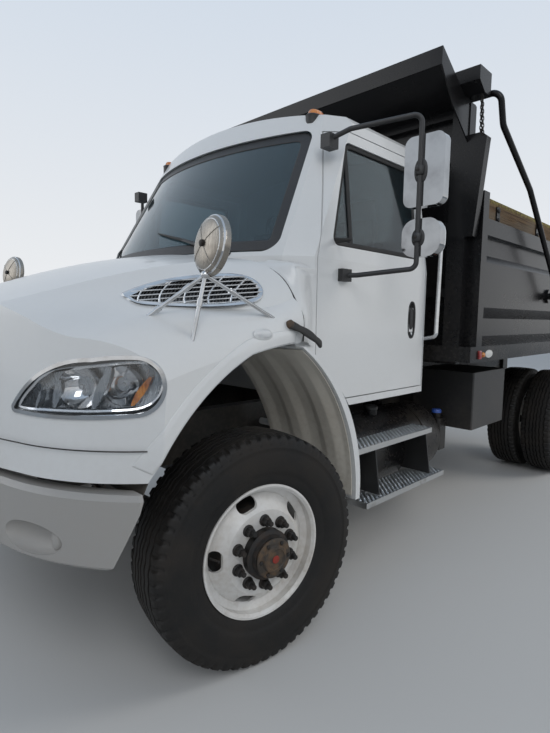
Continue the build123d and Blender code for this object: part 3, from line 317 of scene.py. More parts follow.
class Wire:
    # A node's output that takes part in sums.
    def __init__(self, finish, socket):
        self.finish, self.socket = finish, socket

    def __add__(self, other): return self.finish.maths("ADD", self, other)
    def __radd__(self, other): return self.finish.maths("ADD", other, self)
    def __rsub__(self, other): return self.finish.maths("SUBTRACT", other, self)
    def __mul__(self, other): return self.finish.maths("MULTIPLY", self, other)

    def limited(self, low, high):
        # 0 below low, 1 above high, smooth between.
        inputs = {"Value": self, "From Min": low, "From Max": high}
        return self.finish.add("ShaderNodeMapRange", {"interpolation_type": "SMOOTHSTEP"}, inputs)


class Finish:
    # A material whose principled shader takes constants and wires.
    def __init__(self, name, constants=None):
        self.material = bpy.data.materials.new(name)
        self.material.use_nodes = True
        self.tree = self.material.node_tree
        self.shader = self.tree.nodes["Principled BSDF"]
        for socket, value in (constants or {}).items():
            self.feed(self.shader.inputs[socket], value)
        self.place = None

    def feed(self, socket, value):
        if isinstance(value, Wire):
            self.tree.links.new(value.socket, socket)
        else:
            socket.default_value = value

    def add(self, kind, settings=None, inputs=None, output=0):
        node = self.tree.nodes.new(kind)
        for key, value in (settings or {}).items():
            setattr(node, key, value)
        for key, value in (inputs or {}).items():
            self.feed(node.inputs[key], value)
        return Wire(self, node.outputs[output])

    def maths(self, operation, *values):
        return self.add("ShaderNodeMath", {"operation": operation}, dict(enumerate(values)))

    def mix(self, factor, first, second):
        return self.add("ShaderNodeMix", {"data_type": "RGBA"}, {0: factor, 6: first, 7: second}, 2)

    def where(self, stretch=(1, 1, 1)):
        if self.place is None:
            self.place = self.add("ShaderNodeTexCoord", output="Object")
        return self.add("ShaderNodeMapping", None, {"Vector": self.place, "Scale": stretch})

    def noise(self, scale, detail=4, stretch=(1, 1, 1), rough=0.55):
        inputs = {"Vector": self.where(stretch), "Scale": scale, "Detail": detail, "Roughness": rough}
        return self.add("ShaderNodeTexNoise", None, inputs)

    def cells(self, scale):
        return self.add("ShaderNodeTexVoronoi", None, {"Vector": self.where(), "Scale": scale})

    def height(self):
        # The point's own height above the ground.
        self.where()
        return self.add("ShaderNodeSeparateXYZ", None, {0: self.place}, 2)

    def bump(self, relief, distance):
        node = self.add("ShaderNodeBump", None, {"Height": relief, "Distance": distance, "Strength": 1.0})
        self.feed(self.shader.inputs["Normal"], node)

    def colour(self, value):
        self.feed(self.shader.inputs["Base Color"], value)

    def rough(self, value):
        self.feed(self.shader.inputs["Roughness"], value)


def rgb(red, green, blue):
    return (red, green, blue, 1)


dust, dustRough = rgb(0.36, 0.30, 0.23), 0.75
grime, aluminium = rgb(0.24, 0.21, 0.18), rgb(0.62, 0.62, 0.61)


def paint(name, colour, amount, roughness, coat, top=1.3, bottom=0.5, grain=0.0, shine=0.5):
    # Dust thickens from the height top down to bottom, broken up by coarse and fine noise, and is rougher than paint.
    made = Finish(name, {"Coat Weight": coat, "Coat Roughness": 0.06, "Specular IOR Level": shine})
    low = 1 - made.height().limited(bottom, top)
    patch = made.noise(2.2, 6).limited(0.38, 0.72) * 0.6 + made.noise(38, 4).limited(0.35, 0.8) * 0.4
    mask = (0.18 + low * 0.82) * patch * amount
    made.colour(made.mix(mask, colour, dust))
    made.rough(mask * (dustRough - roughness) + roughness)
    if grain:
        made.bump(made.noise(900, 2), grain)
    return made


print("finishes")
whitePaint = paint("white_paint", rgb(0.74, 0.75, 0.75), 0.30, 0.30, 0.35)
# The arch liner's beige is its dirt colour, darkened by a fifth as painted shade inside the wheel arch.
liner = paint("arch_liner", rgb(0.70, 0.66, 0.58), 0.75, 0.5, 0.0, 1.6, 0.5)
bodyBlack = paint("body_black", rgb(0.006, 0.006, 0.007), 0.10, 0.26, 0.06, 2.2, 1.0, 0.0, 0.25)
frameBlack = paint("frame_black", rgb(0.014, 0.014, 0.014), 0.42, 0.42, 0.0, 1.3, 0.4)
bumperGrey = paint("bumper_grey", rgb(0.36, 0.35, 0.335), 0.30, 0.36, 0.1, 1.0, 0.5, 0.0006)
blackPlastic = paint("black_plastic", rgb(0.018, 0.018, 0.019), 0.20, 0.42, 0.0, 1.2, 0.4, 0.0006)
interiorGrey = paint("interior_grey", rgb(0.16, 0.155, 0.15), 0.15, 0.6, 0.0, 1.3, 0.8, 0.0008)
wheelWhite = paint("wheel_white", rgb(0.74, 0.73, 0.71), 0.85, 0.32, 0.2, 1.2, 0.1)
rubberBlack = paint("rubber_black", rgb(0.02, 0.02, 0.02), 0.35, 0.65, 0.0, 1.0, 0.3, 0.0008)


def smearedChrome(name, scale, detail, full, clean, dull, roughness):
    # Smears from the noise level 0.35 to full, with the roughness (what a smear adds, bare).
    made = Finish(name, {"Metallic": 1.0})
    smear = made.noise(scale, detail).limited(0.35, full)
    made.colour(made.mix(smear, clean, dull))
    made.rough(smear * roughness[0] + roughness[1])
    return made


def castIron(name, colour, rust, amount):
    made = Finish(name, {"Metallic": 0.15})
    patch = made.noise(26, 6).limited(0.40, 0.66) * amount
    made.colour(made.mix(patch, colour, rust))
    made.rough(patch * 0.3 + 0.55)
    made.bump(made.noise(210, 3), 0.0012)
    return made


def tyreFinish():
    # Brown dust lies on the sidewall and in the tread, thinner where the rubber has rubbed clean.
    made = Finish("tyre_rubber", {"Specular IOR Level": 0.35})
    film = made.noise(5, 6).limited(0.30, 0.75) * 0.6 + made.noise(60, 3).limited(0.4, 0.8) * 0.2
    made.colour(made.mix(film * 0.8, rgb(0.006, 0.0058, 0.0056), rgb(0.034, 0.027, 0.021)))
    made.rough(film * 0.25 + 0.55)
    made.bump(made.noise(160, 3), 0.0008)
    return made


def brushed(name, colour, roughness, scale):
    made = Finish(name, {"Metallic": 1.0})
    streak = made.noise(scale, 4, (1, 12, 1)).limited(0.3, 0.75)
    dull = made.noise(9, 5).limited(0.55, 0.8)
    made.colour(made.mix(dull * 0.7, colour, grime))
    made.rough(streak * 0.18 + roughness + dull * 0.2)
    made.bump(streak, 0.0004)
    return made


def woodFinish():
    # Grain runs along the board, grey bleaching in patches, yellow-green growth along the top edge.
    made = Finish("board_wood", {"Specular IOR Level": 0.2})
    grain = made.noise(60, 8, (0.035, 1, 1), 0.7).limited(0.25, 0.75)
    line = made.noise(260, 3, (0.02, 1, 1)).limited(0.35, 0.65)
    bleach = made.noise(3.2, 5, (0.5, 1, 2)).limited(0.42, 0.62)
    bare = made.mix(grain, rgb(0.055, 0.034, 0.020), rgb(0.20, 0.135, 0.080))
    worn = made.mix(bleach * 0.5, bare, rgb(0.17, 0.15, 0.12))
    top = made.height().limited(2.345, 2.392)
    growth = (made.noise(42, 6).limited(0.40, 0.62) * top) * 0.85
    made.colour(made.mix(growth, worn, rgb(0.36, 0.33, 0.09)))
    made.rough(grain * 0.1 + 0.8)
    made.bump(grain * 0.7 + line * 0.3, 0.003)
    return made


def fabricFinish():
    made = Finish("seat_fabric", {"Sheen Weight": 0.3})
    weave = made.cells(420)
    made.colour(made.mix(weave.limited(0.1, 0.7), rgb(0.025, 0.025, 0.028), rgb(0.07, 0.07, 0.075)))
    made.rough(weave * 0.2 + 0.75)
    made.bump(weave, 0.0012)
    return made


def glassFinish(name, tint, clear, roughness=0.03):
    constants = {"Transmission Weight": clear, "IOR": 1.45, "Base Color": tint, "Specular IOR Level": 0.6}
    made = Finish(name, constants)
    film = made.noise(6, 5).limited(0.45, 0.9)
    made.rough(film * 0.05 + roughness)
    return made


def lensFinish(name, deep, bright):
    # Pressed ribs show as fine waves in the lens.
    made = Finish(name, {"Coat Weight": 0.8, "Coat Roughness": 0.04})
    glow = made.noise(30, 3).limited(0.3, 0.8)
    made.colour(made.mix(glow, deep, bright))
    made.rough(glow * 0.1 + 0.12)
    rib = made.add("ShaderNodeTexWave", {"bands_direction": "Y"}, {"Vector": made.where(), "Scale": 60.0})
    made.bump(rib, 0.0015)
    return made


chrome = smearedChrome("chrome", 14, 5, 0.80, rgb(0.62, 0.63, 0.64), rgb(0.48, 0.47, 0.46), (0.10, 0.05))
# The mirror shells get a darker copy of the chrome with broader dull patches: painted darker reflections, on top of
# real smears.
darkReflectionChrome = smearedChrome("mirror_chrome_painted_reflection", 5, 4, 0.75, rgb(0.42, 0.43, 0.44), rgb(0.24, 0.24, 0.25), (0.06, 0.04))
hubIron = castIron("hub_iron", rgb(0.014, 0.013, 0.012), rgb(0.060, 0.040, 0.028), 0.5)
capBrown = castIron("cap_brown", rgb(0.045, 0.036, 0.028), rgb(0.15, 0.095, 0.055), 0.8)
capRed = castIron("cap_red", rgb(0.30, 0.03, 0.02), rgb(0.12, 0.05, 0.03), 0.6)
axleIron = castIron("axle_iron", rgb(0.018, 0.018, 0.018), rgb(0.11, 0.075, 0.05), 0.5)
engineGrey = castIron("engine_grey", rgb(0.10, 0.105, 0.11), rgb(0.05, 0.04, 0.035), 0.5)
nutIron = castIron("nut_iron", rgb(0.013, 0.012, 0.011), rgb(0.045, 0.032, 0.024), 0.5)
tyreRubber = tyreFinish()
stepAluminium = brushed("tread_aluminium", aluminium, 0.32, 30)
exhaustSteel = brushed("exhaust_steel", rgb(0.33, 0.29, 0.26), 0.45, 20)
boardWood = woodFinish()


def stepFinish(low=(0.552, 0.556), high=(0.806, 0.810)):
    # The hanger plates between the two treads are black paint. The treads themselves are bare aluminium.
    made = Finish("step_metal")
    height = made.height()
    plate = height.limited(*low) * (1 - height.limited(*high))
    dull = made.noise(9, 5).limited(0.55, 0.8)
    bare = made.mix(dull * 0.7, aluminium, grime)
    made.colour(made.mix(plate, bare, rgb(0.016, 0.016, 0.016)))
    made.feed(made.shader.inputs["Metallic"], 1 - plate)
    made.rough(dull * 0.2 + 0.36)
    return made


stepMetal = stepFinish()
seatFabric = fabricFinish()
cabGlass = glassFinish("cab_glass", rgb(0.26, 0.37, 0.41), 0.92)
# The door glass is tinted darker than the windscreen: painted shade, standing in for the dark cab interior seen through
# the door window.
shadedDoorGlass = glassFinish("door_glass", rgb(0.10, 0.14, 0.16), 0.92)
lampGlass = glassFinish("lamp_lens", rgb(0.96, 0.97, 0.98), 1.0, 0.01)
amberLens = lensFinish("amber_lens", rgb(0.55, 0.14, 0.01), rgb(0.95, 0.36, 0.04))
redLens = lensFinish("red_lens", rgb(0.22, 0.01, 0.01), rgb(0.62, 0.04, 0.03))
lampGrey = brushed("lamp_grey", rgb(0.30, 0.32, 0.34), 0.22, 12)
mirrorGlass = Finish("mirror_glass", {"Metallic": 1.0, "Base Color": rgb(0.72, 0.75, 0.76), "Roughness": 0.02})
capBlue = paint("cap_blue", rgb(0.02, 0.09, 0.42), 0.25, 0.35, 0.1)
plateBlank = paint("plate_blank", rgb(0.62, 0.62, 0.60), 0.2, 0.4, 0.2)

finishOf = {
    "white_paint": whitePaint, "black_paint": bodyBlack, "frame_black": frameBlack, "bumper_grey": bumperGrey,
    "chrome": chrome, "black_plastic": blackPlastic, "cab_glass": cabGlass, "lamp_lens": lampGlass,
    "amber_lens": amberLens, "red_lens": redLens, "tyre_rubber": tyreRubber, "rubber_black": rubberBlack,
    "wheel_white": wheelWhite, "hub_iron": hubIron, "axle_iron": axleIron, "tread_aluminium": stepAluminium,
    "board_wood": boardWood, "seat_fabric": seatFabric, "interior_grey": interiorGrey, "engine_grey": engineGrey,
    "exhaust_steel": exhaustSteel,
}
dressedApart = {
    "steps": stepMetal, "door_glass_left": shadedDoorGlass, "door_glass_right": shadedDoorGlass, "mirrors_left": darkReflectionChrome,
    "mirrors_right": darkReflectionChrome,
}
for part in frame["record"]["subparts"]:
    for slot in nodes[part["node"]].material_slots:
        slot.material = dressedApart.get(part["node"], finishOf[part["material_slot"]]).material


# Wheels

wheelSize = {
    "radius": 0.520, "beadRadius": 0.2868, "steps": 480,
    # The side from the bead out to the tread's edge as (y, radius).
    "side": [
        (0.1052, 0.2868), (0.1112, 0.301), (0.120, 0.312), (0.122, 0.322), (0.1275, 0.336), (0.1275, 0.345),
        (0.1305, 0.349), (0.1355, 0.372), (0.139, 0.400), (0.1395, 0.420), (0.1385, 0.442), (0.136, 0.458),
        (0.1375, 0.461), (0.1365, 0.466), (0.134, 0.478), (0.1315, 0.488), (0.1285, 0.500), (0.122, 0.5095),
        (0.1145, 0.5125),
    ],
    # From there inwards, y of each edge in the tread and whether it lies in a groove.
    "edges": [0.108, 0.088, 0.0865, 0.0775, 0.076, 0.0515, 0.050, 0.041, 0.0395, 0.0195, 0.018, 0.009, 0.0075],
    "inGroove": [0, 0, 1, 1, 0, 0, 1, 1, 0, 0, 1, 1, 0],
    "crownDrop": 0.006, "crownHalf": 0.11, "grooveDepth": 0.014, "treadHalf": 0.1, "treadFrom": 0.5,
    "zigzags": 45, "zigzag": 0.004,
    "notches": 60, "notchDepth": 0.010, "notchSpan": (0.12, 0.38), "notchY": 0.088, "notchFrom": 0.486,
    "kingpin": (0.0, 0.930, 0.520), "steer": -9.0, "offset": 0.098,
    "rearX": -4.200, "rearInner": 0.750, "rearOuter": 1.080, "rearMount": 0.915,
}
wheelNuts = {"circle": 0.142875, "count": 10, "tall": 0.034, "wide": 0.0205}
hubNuts = {"circle": 0.068, "count": 8, "tall": 0.012, "wide": 0.009}
nutFaces = {"front": 0.115, "rear": 0.011, "hub": 0.160}
hubCap = {
    "cap": [
        (0, 0.184), (0.086, 0.184), (0.0865, 0.190), (0.080, 0.1945), (0.062, 0.196), (0.056, 0.205),
        (0.046, 0.207), (0.043, 0.2035), (0.0, 0.2035),
    ],
    "plug": [(0, 0.2005), (0.017, 0.2005), (0.017, 0.2055), (0.013, 0.207), (0, 0.207)],
    "bolt": [(0, 0.192), (0.009, 0.192), (0.009, 0.2), (0.006, 0.2025), (0, 0.2025)],
    "bolts": 6, "boltCircle": 0.070,
    "valve": [(0.255, 0.092, 0.03), (0.243, 0.118, 0.03), (0.238, 0.140, 0.03)], "valveRadius": 0.0045,
}
axle = (0, 1, 0)


def tyreGrid(size):
    # The section (y, radius) goes round the axle. In the tread, radius - depth(angle, y), and y sways with the angle so
    # that the grooves zigzag. The shoulder's notches cut in over a span of each pitch.
    edges = np.array(size["edges"])
    crown = size["radius"] - size["crownDrop"] * (edges / size["crownHalf"]) ** 2
    half = np.concatenate([size["side"], np.stack([edges, crown], -1)])
    cut = np.concatenate([np.zeros(len(size["side"])), size["inGroove"]])
    section = np.concatenate([half, half[::-1] * [-1, 1], [(0.0, size["beadRadius"])]])
    cuts = np.concatenate([cut, cut[::-1], [0]])
    angle = np.linspace(0, 2 * np.pi, size["steps"], endpoint=False)[:, None]
    y, radius = section.T
    inTread = (np.abs(y) < size["treadHalf"]) & (radius > size["treadFrom"])
    shoulder = (np.abs(y) > size["notchY"]) & (radius > size["notchFrom"])
    wave = np.abs((angle * size["zigzags"] / (2 * np.pi)) % 1 * 2 - 1) * 2 - 1
    pitch = (angle * size["notches"] / (2 * np.pi)) % 1
    notch = (pitch > size["notchSpan"][0]) & (pitch < size["notchSpan"][1])
    y = y + size["zigzag"] * wave * inTread
    radius = radius - cuts * size["grooveDepth"] - size["notchDepth"] * (notch & shoulder)
    return np.stack([radius * np.cos(angle), y, radius * np.sin(angle)], -1)


def frontPlace(points, side):
    # From the wheel's own frame, kerb side at +y, to its steered place.
    moved = turn(points * [1, side, 1] + [0, side * wheelSize["offset"], 0], wheelSize["steer"])
    return moved + at(*wheelSize["kingpin"]) * [1, side, 1]


def nutGrids(face, circle, count, tall, wide):
    # Hexagonal nuts, each with a flange and the stud's end standing out of it, on a circle about the axle along y.
    flange = [(0.0, -0.001), (wide * 1.28, -0.001), (wide * 1.28, 0.005), (wide * 1.05, 0.009), (0, 0.009)]
    body = [(0.0, 0.006), (wide, 0.006), (wide, tall - 0.003), (wide * 0.86, tall), (0, tall)]
    low, high = tall - 0.002, tall + 0.023
    stud = [(0.0, low), (wide * 0.55, low), (wide * 0.55, high - 0.003), (wide * 0.45, high), (0, high)]
    found = []
    for step in range(count):
        angle = 2 * math.pi * (step + 0.5) / count
        centre = (circle * math.cos(angle), face, circle * math.sin(angle))
        found += [lathe(profile, centre, axle, steps) for profile, steps in ((flange, 20), (body, 6), (stud, 14))]
    return found


print("wheels")
tyre = tyreGrid(wheelSize)
for side, name in sides:
    tread = Piece(f"tread_front_{name}").grid(frontPlace(tyre, side), tyreRubber, closeRows=True)
    tread.ride(f"front_{name}_wheel", "tyre_rubber", [f"front_tyre_{name}"])
    nuts = Piece(f"wheel_nuts_front_{name}")
    for grid in nutGrids(nutFaces["front"], **wheelNuts):
        nuts.grid(frontPlace(grid, side), nutIron)
    for profile, steps, finish in ((hubCap["cap"], 48, capBrown), (hubCap["plug"], 24, capRed)):
        nuts.grid(frontPlace(lathe(profile, (0, 0, 0), axle, steps), side), finish)
    for step in range(hubCap["bolts"]):
        angle = 2 * math.pi * step / hubCap["bolts"]
        centre = (hubCap["boltCircle"] * math.cos(angle), 0, hubCap["boltCircle"] * math.sin(angle))
        nuts.grid(frontPlace(lathe(hubCap["bolt"], centre, axle, 6), side), nutIron)
    stem = oval(hubCap["valveRadius"], hubCap["valveRadius"], 2, 10)
    nuts.grid(frontPlace(carried(stem, curve(hubCap["valve"], 8), (1, 0, 0)), side), nutIron)
    nuts.ride(f"front_{name}_wheel", "hub_iron")
    rear = Piece(f"tread_rear_{name}")
    for y in (wheelSize["rearInner"], wheelSize["rearOuter"]):
        place = at(wheelSize["rearX"], y, wheelSize["radius"])
        rear.grid((tyre + place) * [1, side, 1], tyreRubber, closeRows=True)
    rear.ride(f"rear_{name}_wheels", "tyre_rubber", [f"rear_tyres_{name}"])
    rearNuts = Piece(f"wheel_nuts_rear_{name}")
    hubPlace = at(wheelSize["rearX"], wheelSize["rearMount"], wheelSize["radius"])
    for grid in nutGrids(nutFaces["rear"], **wheelNuts) + nutGrids(nutFaces["hub"], **hubNuts):
        rearNuts.grid((grid + hubPlace) * [1, side, 1], nutIron)
    rearNuts.ride(f"rear_{name}_wheels", "hub_iron")


# Headlamps

lampShape = {
    # Each bowl's u, z, radius and t. Each vane's low end and high end as (u, z), and its width.
    "bowls": [(0.118, 1.280, 0.076, 1.146), (0.268, 1.286, 0.072, 1.130)], "bowlDeep": 0.05, "slew": 40,
    "bulb": [(0, -0.05), (0.011, -0.05), (0.011, -0.02), (0.008, -0.012), (0, -0.010)],
    "vanes": [
        ((0.028, 1.206), (0.052, 1.306), 0.030), ((0.172, 1.206), (0.232, 1.356), 0.034),
        ((-0.050, 1.200), (-0.028, 1.262), 0.014),
    ],
    "amber": ((0.306, 1.216), (0.366, 1.318), 0.030), "vaneDepths": (-0.022, -0.070), "amberDepths": (-0.018, -0.060),
    "rim": np.array([
        (-0.129, 1.210), (-0.073, 1.274), (0.015, 1.337), (0.205, 1.366), (0.337, 1.376), (0.392, 1.357),
        (0.412, 1.302), (0.395, 1.244), (0.335, 1.204), (0.202, 1.196), (0.018, 1.194), (-0.110, 1.192),
    ]),
    "tray": [(-0.002, -0.082), (-0.002, -0.017), (0.001, -0.017), (0.004, -0.078)],
    "frame": [(0.001, -0.030), (0.001, -0.016), (0.008, -0.019), (0.010, -0.030)],
    "crown": 1.188, "crownAt": 0.16, "bend": 0.95,
}


def cornerPlace(u, z, t):
    # u runs round the corner, t outwards, both at 45 degrees to the truck.
    s = math.sqrt(0.5)
    return np.stack([t * s - u * s + axleX, t * s + u * s, z], -1)


def lampWall(u, z, depth):
    # The lens bends back either side of its crown: t = crown - bend * (u - crownAt) squared.
    return cornerPlace(u, z, lampShape["crown"] - lampShape["bend"] * (u - lampShape["crownAt"]) ** 2 + depth)


def vaneGrid(low, high, wide, front, back):
    # A leaning blade: its width swells as the sine of the way up, between two depths behind the lens.
    way = np.linspace(0, 1, 16)
    mid = np.array(low) + way[:, None] * (np.array(high) - low)
    half = wide / 2 * np.sin(np.pi * (0.12 + 0.76 * way))
    edges = [(mid[:, 0] - half, back), (mid[:, 0] - half, front), (mid[:, 0] + half, front), (mid[:, 0] + half, back)]
    rows = np.stack([lampWall(u, mid[:, 1], depth) for u, depth in edges], 1)
    ends = np.repeat(rows.mean(1, keepdims=True), 4, 1)
    return np.concatenate([ends[:1], rows, ends[-1:]])


print("headlamps")
lamps = Piece("headlamp_insides")
for u, z, radius, t in lampShape["bowls"]:
    # The bowl's profile is (radius * s, deep * s squared), and its back lies a wall behind.
    s, deep = np.linspace(0, 1, 12), lampShape["bowlDeep"]
    bowl = np.stack([radius * s, deep * s ** 2 - deep], -1)
    back = np.stack([radius * s[::-1] + 0.003, deep * s[::-1] ** 2 - (deep + 0.004)], -1)
    back[-1, 0] = 0
    heading = math.radians(45) + math.radians((u - lampShape["crownAt"]) * lampShape["slew"])
    facing = (math.cos(heading), math.sin(heading), 0)
    lamps.both(lathe(np.concatenate([bowl, back]), cornerPlace(u, z, t), facing, 40), chrome)
    lamps.both(lathe(lampShape["bulb"], cornerPlace(u, z, t), facing, 20), lampGlass)
rim = closedCurve(lampShape["rim"], 96)
lamps.both(slab(rim, lampShape["tray"], lampWall), lampGrey)
lamps.both(hoop(rim, lampShape["frame"], lampWall), chrome, closeRows=True)
for low, high, wide in lampShape["vanes"]:
    lamps.both(vaneGrid(low, high, wide, *lampShape["vaneDepths"]), lampGrey)
lamps.both(vaneGrid(*lampShape["amber"], *lampShape["amberDepths"]), amberLens)
lamps.ride("hood", "chrome")


# Screen border, seals and wipers

screen = {
    "corners": [(-0.865, 1.868), (0.865, 1.868), (0.772, 2.570), (-0.772, 2.570)], "round": 0.095, "edge": 0.006,
    "border": 0.055, "ahead": 0.05, "lift": 0.0018, "thick": 0.0016,
    # The outer face's foot and its rise to the roof. Each pair is the value at the foot and its loss up to the roof.
    "belt": 1.845, "rise": 0.885, "sag": (0.240, 0.090), "half": (0.900, 0.115), "crown": (-0.060, 0.560), "in": 0.018,
}
doorPane = {
    "corners": [(-0.575, 1.92), (-0.752, 2.49), (-1.465, 2.49), (-1.465, 1.92)], "round": 0.060, "edge": 0.003,
    "seal": 0.024, "sealLift": 0.004, "sealThick": 0.010, "outside": 1.1,
    "barX": (-0.745, -0.772), "barZ": (1.926, 2.460), "barLift": 0.003, "barThick": 0.008,
}
wiperShape = {
    "sweeps": ((0.62, 0.02, 2.030), (-0.42, -0.80, 2.02)),  # y of the pivot, y and z of the blade's far end
    "armZ": 1.862, "armShare": 0.62, "armOut": (0.022, 0.006), "arm": (0.011, 0.005),
    "bladeZ": 1.905, "bladeOver": (0.12, 0.05), "bladeOut": 0.011, "blade": (0.009, 0.008), "over": (1, 0, 0.5),
    "pivot": [(0, 0), (0.020, 0), (0.020, 0.018), (0.012, 0.026), (0, 0.026)],
    "pivotOut": 0.004, "pivotZ": 1.852, "pivotAxis": (0.75, 0, 0.66),
}


def bandBetween(loop, inset, rows, place):
    # A flat ring from the loop to the same loop drawn in, placed by a function of its two flat numbers.
    return place(np.stack([drawnIn(loop, inset * step) for step in np.linspace(0, 1, rows)]))


def paneLoop(size, count):
    # A pane's outline: rounded corners, read off evenly, kept anticlockwise and drawn in to the pane's edge.
    return drawnIn(anticlockwise(evenLoop(roundedLoop(size["corners"], size["round"]), count)), size["edge"])


def facingX(x):
    return lambda ring: np.stack([np.full(ring.shape[:-1], x + axleX), ring[..., 0], ring[..., 1]], -1)


def facingY(y):
    return lambda ring: np.stack([ring[..., 0] + axleX, np.full(ring.shape[:-1], y), ring[..., 1]], -1)


def screenX(y, z):
    # The windscreen's outer face: an arc whose sag, half width and crown change evenly from the belt to the roof.
    t = (z - screen["belt"]) / screen["rise"]
    sag, half, crown = (screen[key][0] - screen[key][1] * t for key in ("sag", "half", "crown"))
    radius = (half ** 2 + sag ** 2) / (2 * sag)
    return crown - (radius - np.sqrt(radius ** 2 - np.asarray(y) ** 2)) - screen["in"]


print("glass borders")
border = Piece("screen_border")
border.grid(bandBetween(paneLoop(screen, 260), screen["border"], 10, facingX(screen["ahead"])), blackPlastic)
laidOn(border.ride("chassis", "black_plastic"), "cab_glass", (True, False, False), screen["lift"], screen["thick"])
doorLoop = paneLoop(doorPane, 200)
for side, name in sides:
    seal = Piece(f"door_seal_{name}")
    seal.grid(bandBetween(doorLoop, doorPane["seal"], 4, facingY(doorPane["outside"] * side)), rubberBlack)
    made = seal.ride(f"{name}_door", "black_plastic")
    laidOn(made, f"door_glass_{name}", (False, True, False), doorPane["sealLift"], doorPane["sealThick"])

wipers, size = Piece("wipers"), wiperShape
for pivotY, tipY, tipZ in size["sweeps"]:
    reach = np.linspace(0, 1, 24)
    armY = pivotY + (tipY - pivotY) * reach * size["armShare"]
    armZ = size["armZ"] + (tipZ - size["armZ"]) * reach * size["armShare"]
    arm = np.stack([screenX(armY, armZ) + axleX + size["armOut"][0] - size["armOut"][1] * reach, armY, armZ], -1)
    wipers.grid(carried(oval(*size["arm"], 3, 16), arm, size["over"], swell=1.2 - 0.6 * reach), blackPlastic)
    bladeY = np.linspace(pivotY - size["bladeOver"][0], tipY - size["bladeOver"][1], 40)
    bladeZ = size["bladeZ"] + (tipZ - size["bladeZ"]) * (bladeY - bladeY[0]) / (bladeY[-1] - bladeY[0])
    blade = np.stack([screenX(bladeY, bladeZ) + axleX + size["bladeOut"], bladeY, bladeZ], -1)
    swell = 0.35 + 0.65 * np.sin(np.linspace(0.15, np.pi - 0.15, 40))
    wipers.grid(carried(oval(*size["blade"], 2.5, 14), blade, size["over"], swell=swell), rubberBlack)
    pivot = at(screenX(pivotY, size["armZ"]) + size["pivotOut"], pivotY, size["pivotZ"])
    wipers.grid(lathe(size["pivot"], pivot, size["pivotAxis"], 24), blackPlastic)
wipers.ride("chassis", "black_plastic")


# Door furniture

handleShape = {
    "place": (-1.398, 0.990, 1.536), "cup": (0.040, 0.113), "paddle": (0.020, 0.070),
    "cupRings": [(0, -0.004), (-0.006, 0.010), (-0.004, 0.013), (0.004, 0.012), (0.009, -0.002), (0.020, -0.004)],
    "paddleRings": [(0, -0.003), (0, 0.010), (0.004, 0.014), (0.012, 0.0145)], "paddleAt": (0.004, 0, 0.010),
    "lock": [(0, 0.0), (0.011, 0.0), (0.011, 0.014), (0.008, 0.0155), (0, 0.0155)], "lockAt": (0, 0, -0.088),
}
print("doors")
size = handleShape
for side, name in sides:
    handle, out = Piece(f"door_handle_{name}"), (0, side, 0)
    place = at(*size["place"]) * [1, side, 1]
    handle.grid(stacked(oval(*size["cup"], 2.6, 56), size["cupRings"], place, out), blackPlastic)
    handle.grid(stacked(oval(*size["paddle"], 3, 40), size["paddleRings"], place + size["paddleAt"], out), blackPlastic)
    handle.grid(lathe(size["lock"], place + size["lockAt"], out, 24), chrome)
    handle.ride(f"{name}_door", "black_plastic")
    x, z = np.meshgrid(np.linspace(*doorPane["barX"], 5), np.linspace(*doorPane["barZ"], 20), indexing="ij")
    bar = Piece(f"window_bar_{name}")
    bar.grid(facingY(doorPane["outside"] * side)(np.stack([x, z], -1)), rubberBlack, closeColumns=False)
    made = bar.ride(f"{name}_door", "black_plastic")
    laidOn(made, f"door_glass_{name}", (False, True, False), doorPane["barLift"], doorPane["barThick"])


# Mirrors

mirrorShape = {
    "tubeX": -0.845, "tubeY": 1.325, "glassOut": 0.015, "glassRings": [(0, -0.004), (0, 0.002), (0.003, 0.0035)],
    "heads": (
        {"z": 2.285, "half": (0.100, 0.162), "power": 5, "back": -0.078, "crown": 0.0040, "clamp": 0.060},
        {"z": 1.955, "half": (0.096, 0.083), "power": 3.4, "back": -0.084, "crown": 0.010, "clamp": 0.045},
    ),
    "clampX": -0.009, "clampHalf": 0.034, "clampRings": [(0, -0.002), (0, 0.006), (0.004, 0.009), (0.012, 0.010)],
    "knuckle": [(0, -0.022), (0.020, -0.022), (0.0235, -0.016), (0.0235, 0.016), (0.020, 0.022), (0, 0.022)],
    "bolt": [(0, 0), (0.009, 0), (0.009, 0.008), (0.006, 0.010), (0, 0.010)], "knuckleX": 0.010, "boltX": 0.030,
}
print("mirrors")
size = mirrorShape
for side, name in sides:
    faces, clamps = Piece(f"mirror_faces_{name}"), Piece(f"mirror_clamps_{name}")
    for head in size["heads"]:
        centre = at(size["tubeX"] + head["back"], side * (size["tubeY"] + size["glassOut"]), head["z"])
        rings = size["glassRings"] + [(0.05, head["crown"])]
        faces.grid(stacked(oval(*head["half"], head["power"], 56), rings, centre, (-1, 0, 0)), mirrorGlass)
        centre = at(size["tubeX"] + size["clampX"], side * size["tubeY"], head["z"])
        plate = oval(size["clampHalf"], head["clamp"], 2.2, 40)
        clamps.grid(stacked(plate, size["clampRings"], centre, (1, 0, 0)), blackPlastic)
        clamps.grid(lathe(size["knuckle"], centre + [size["knuckleX"], 0, 0], (0, 0, 1), 28), blackPlastic)
        clamps.grid(lathe(size["bolt"], centre + [size["boltX"], 0, 0], (1, 0, 0), 6), nutIron)
    faces.ride(f"{name}_door", "chrome")
    clamps.ride(f"{name}_door", "black_plastic")


# Roof lamps

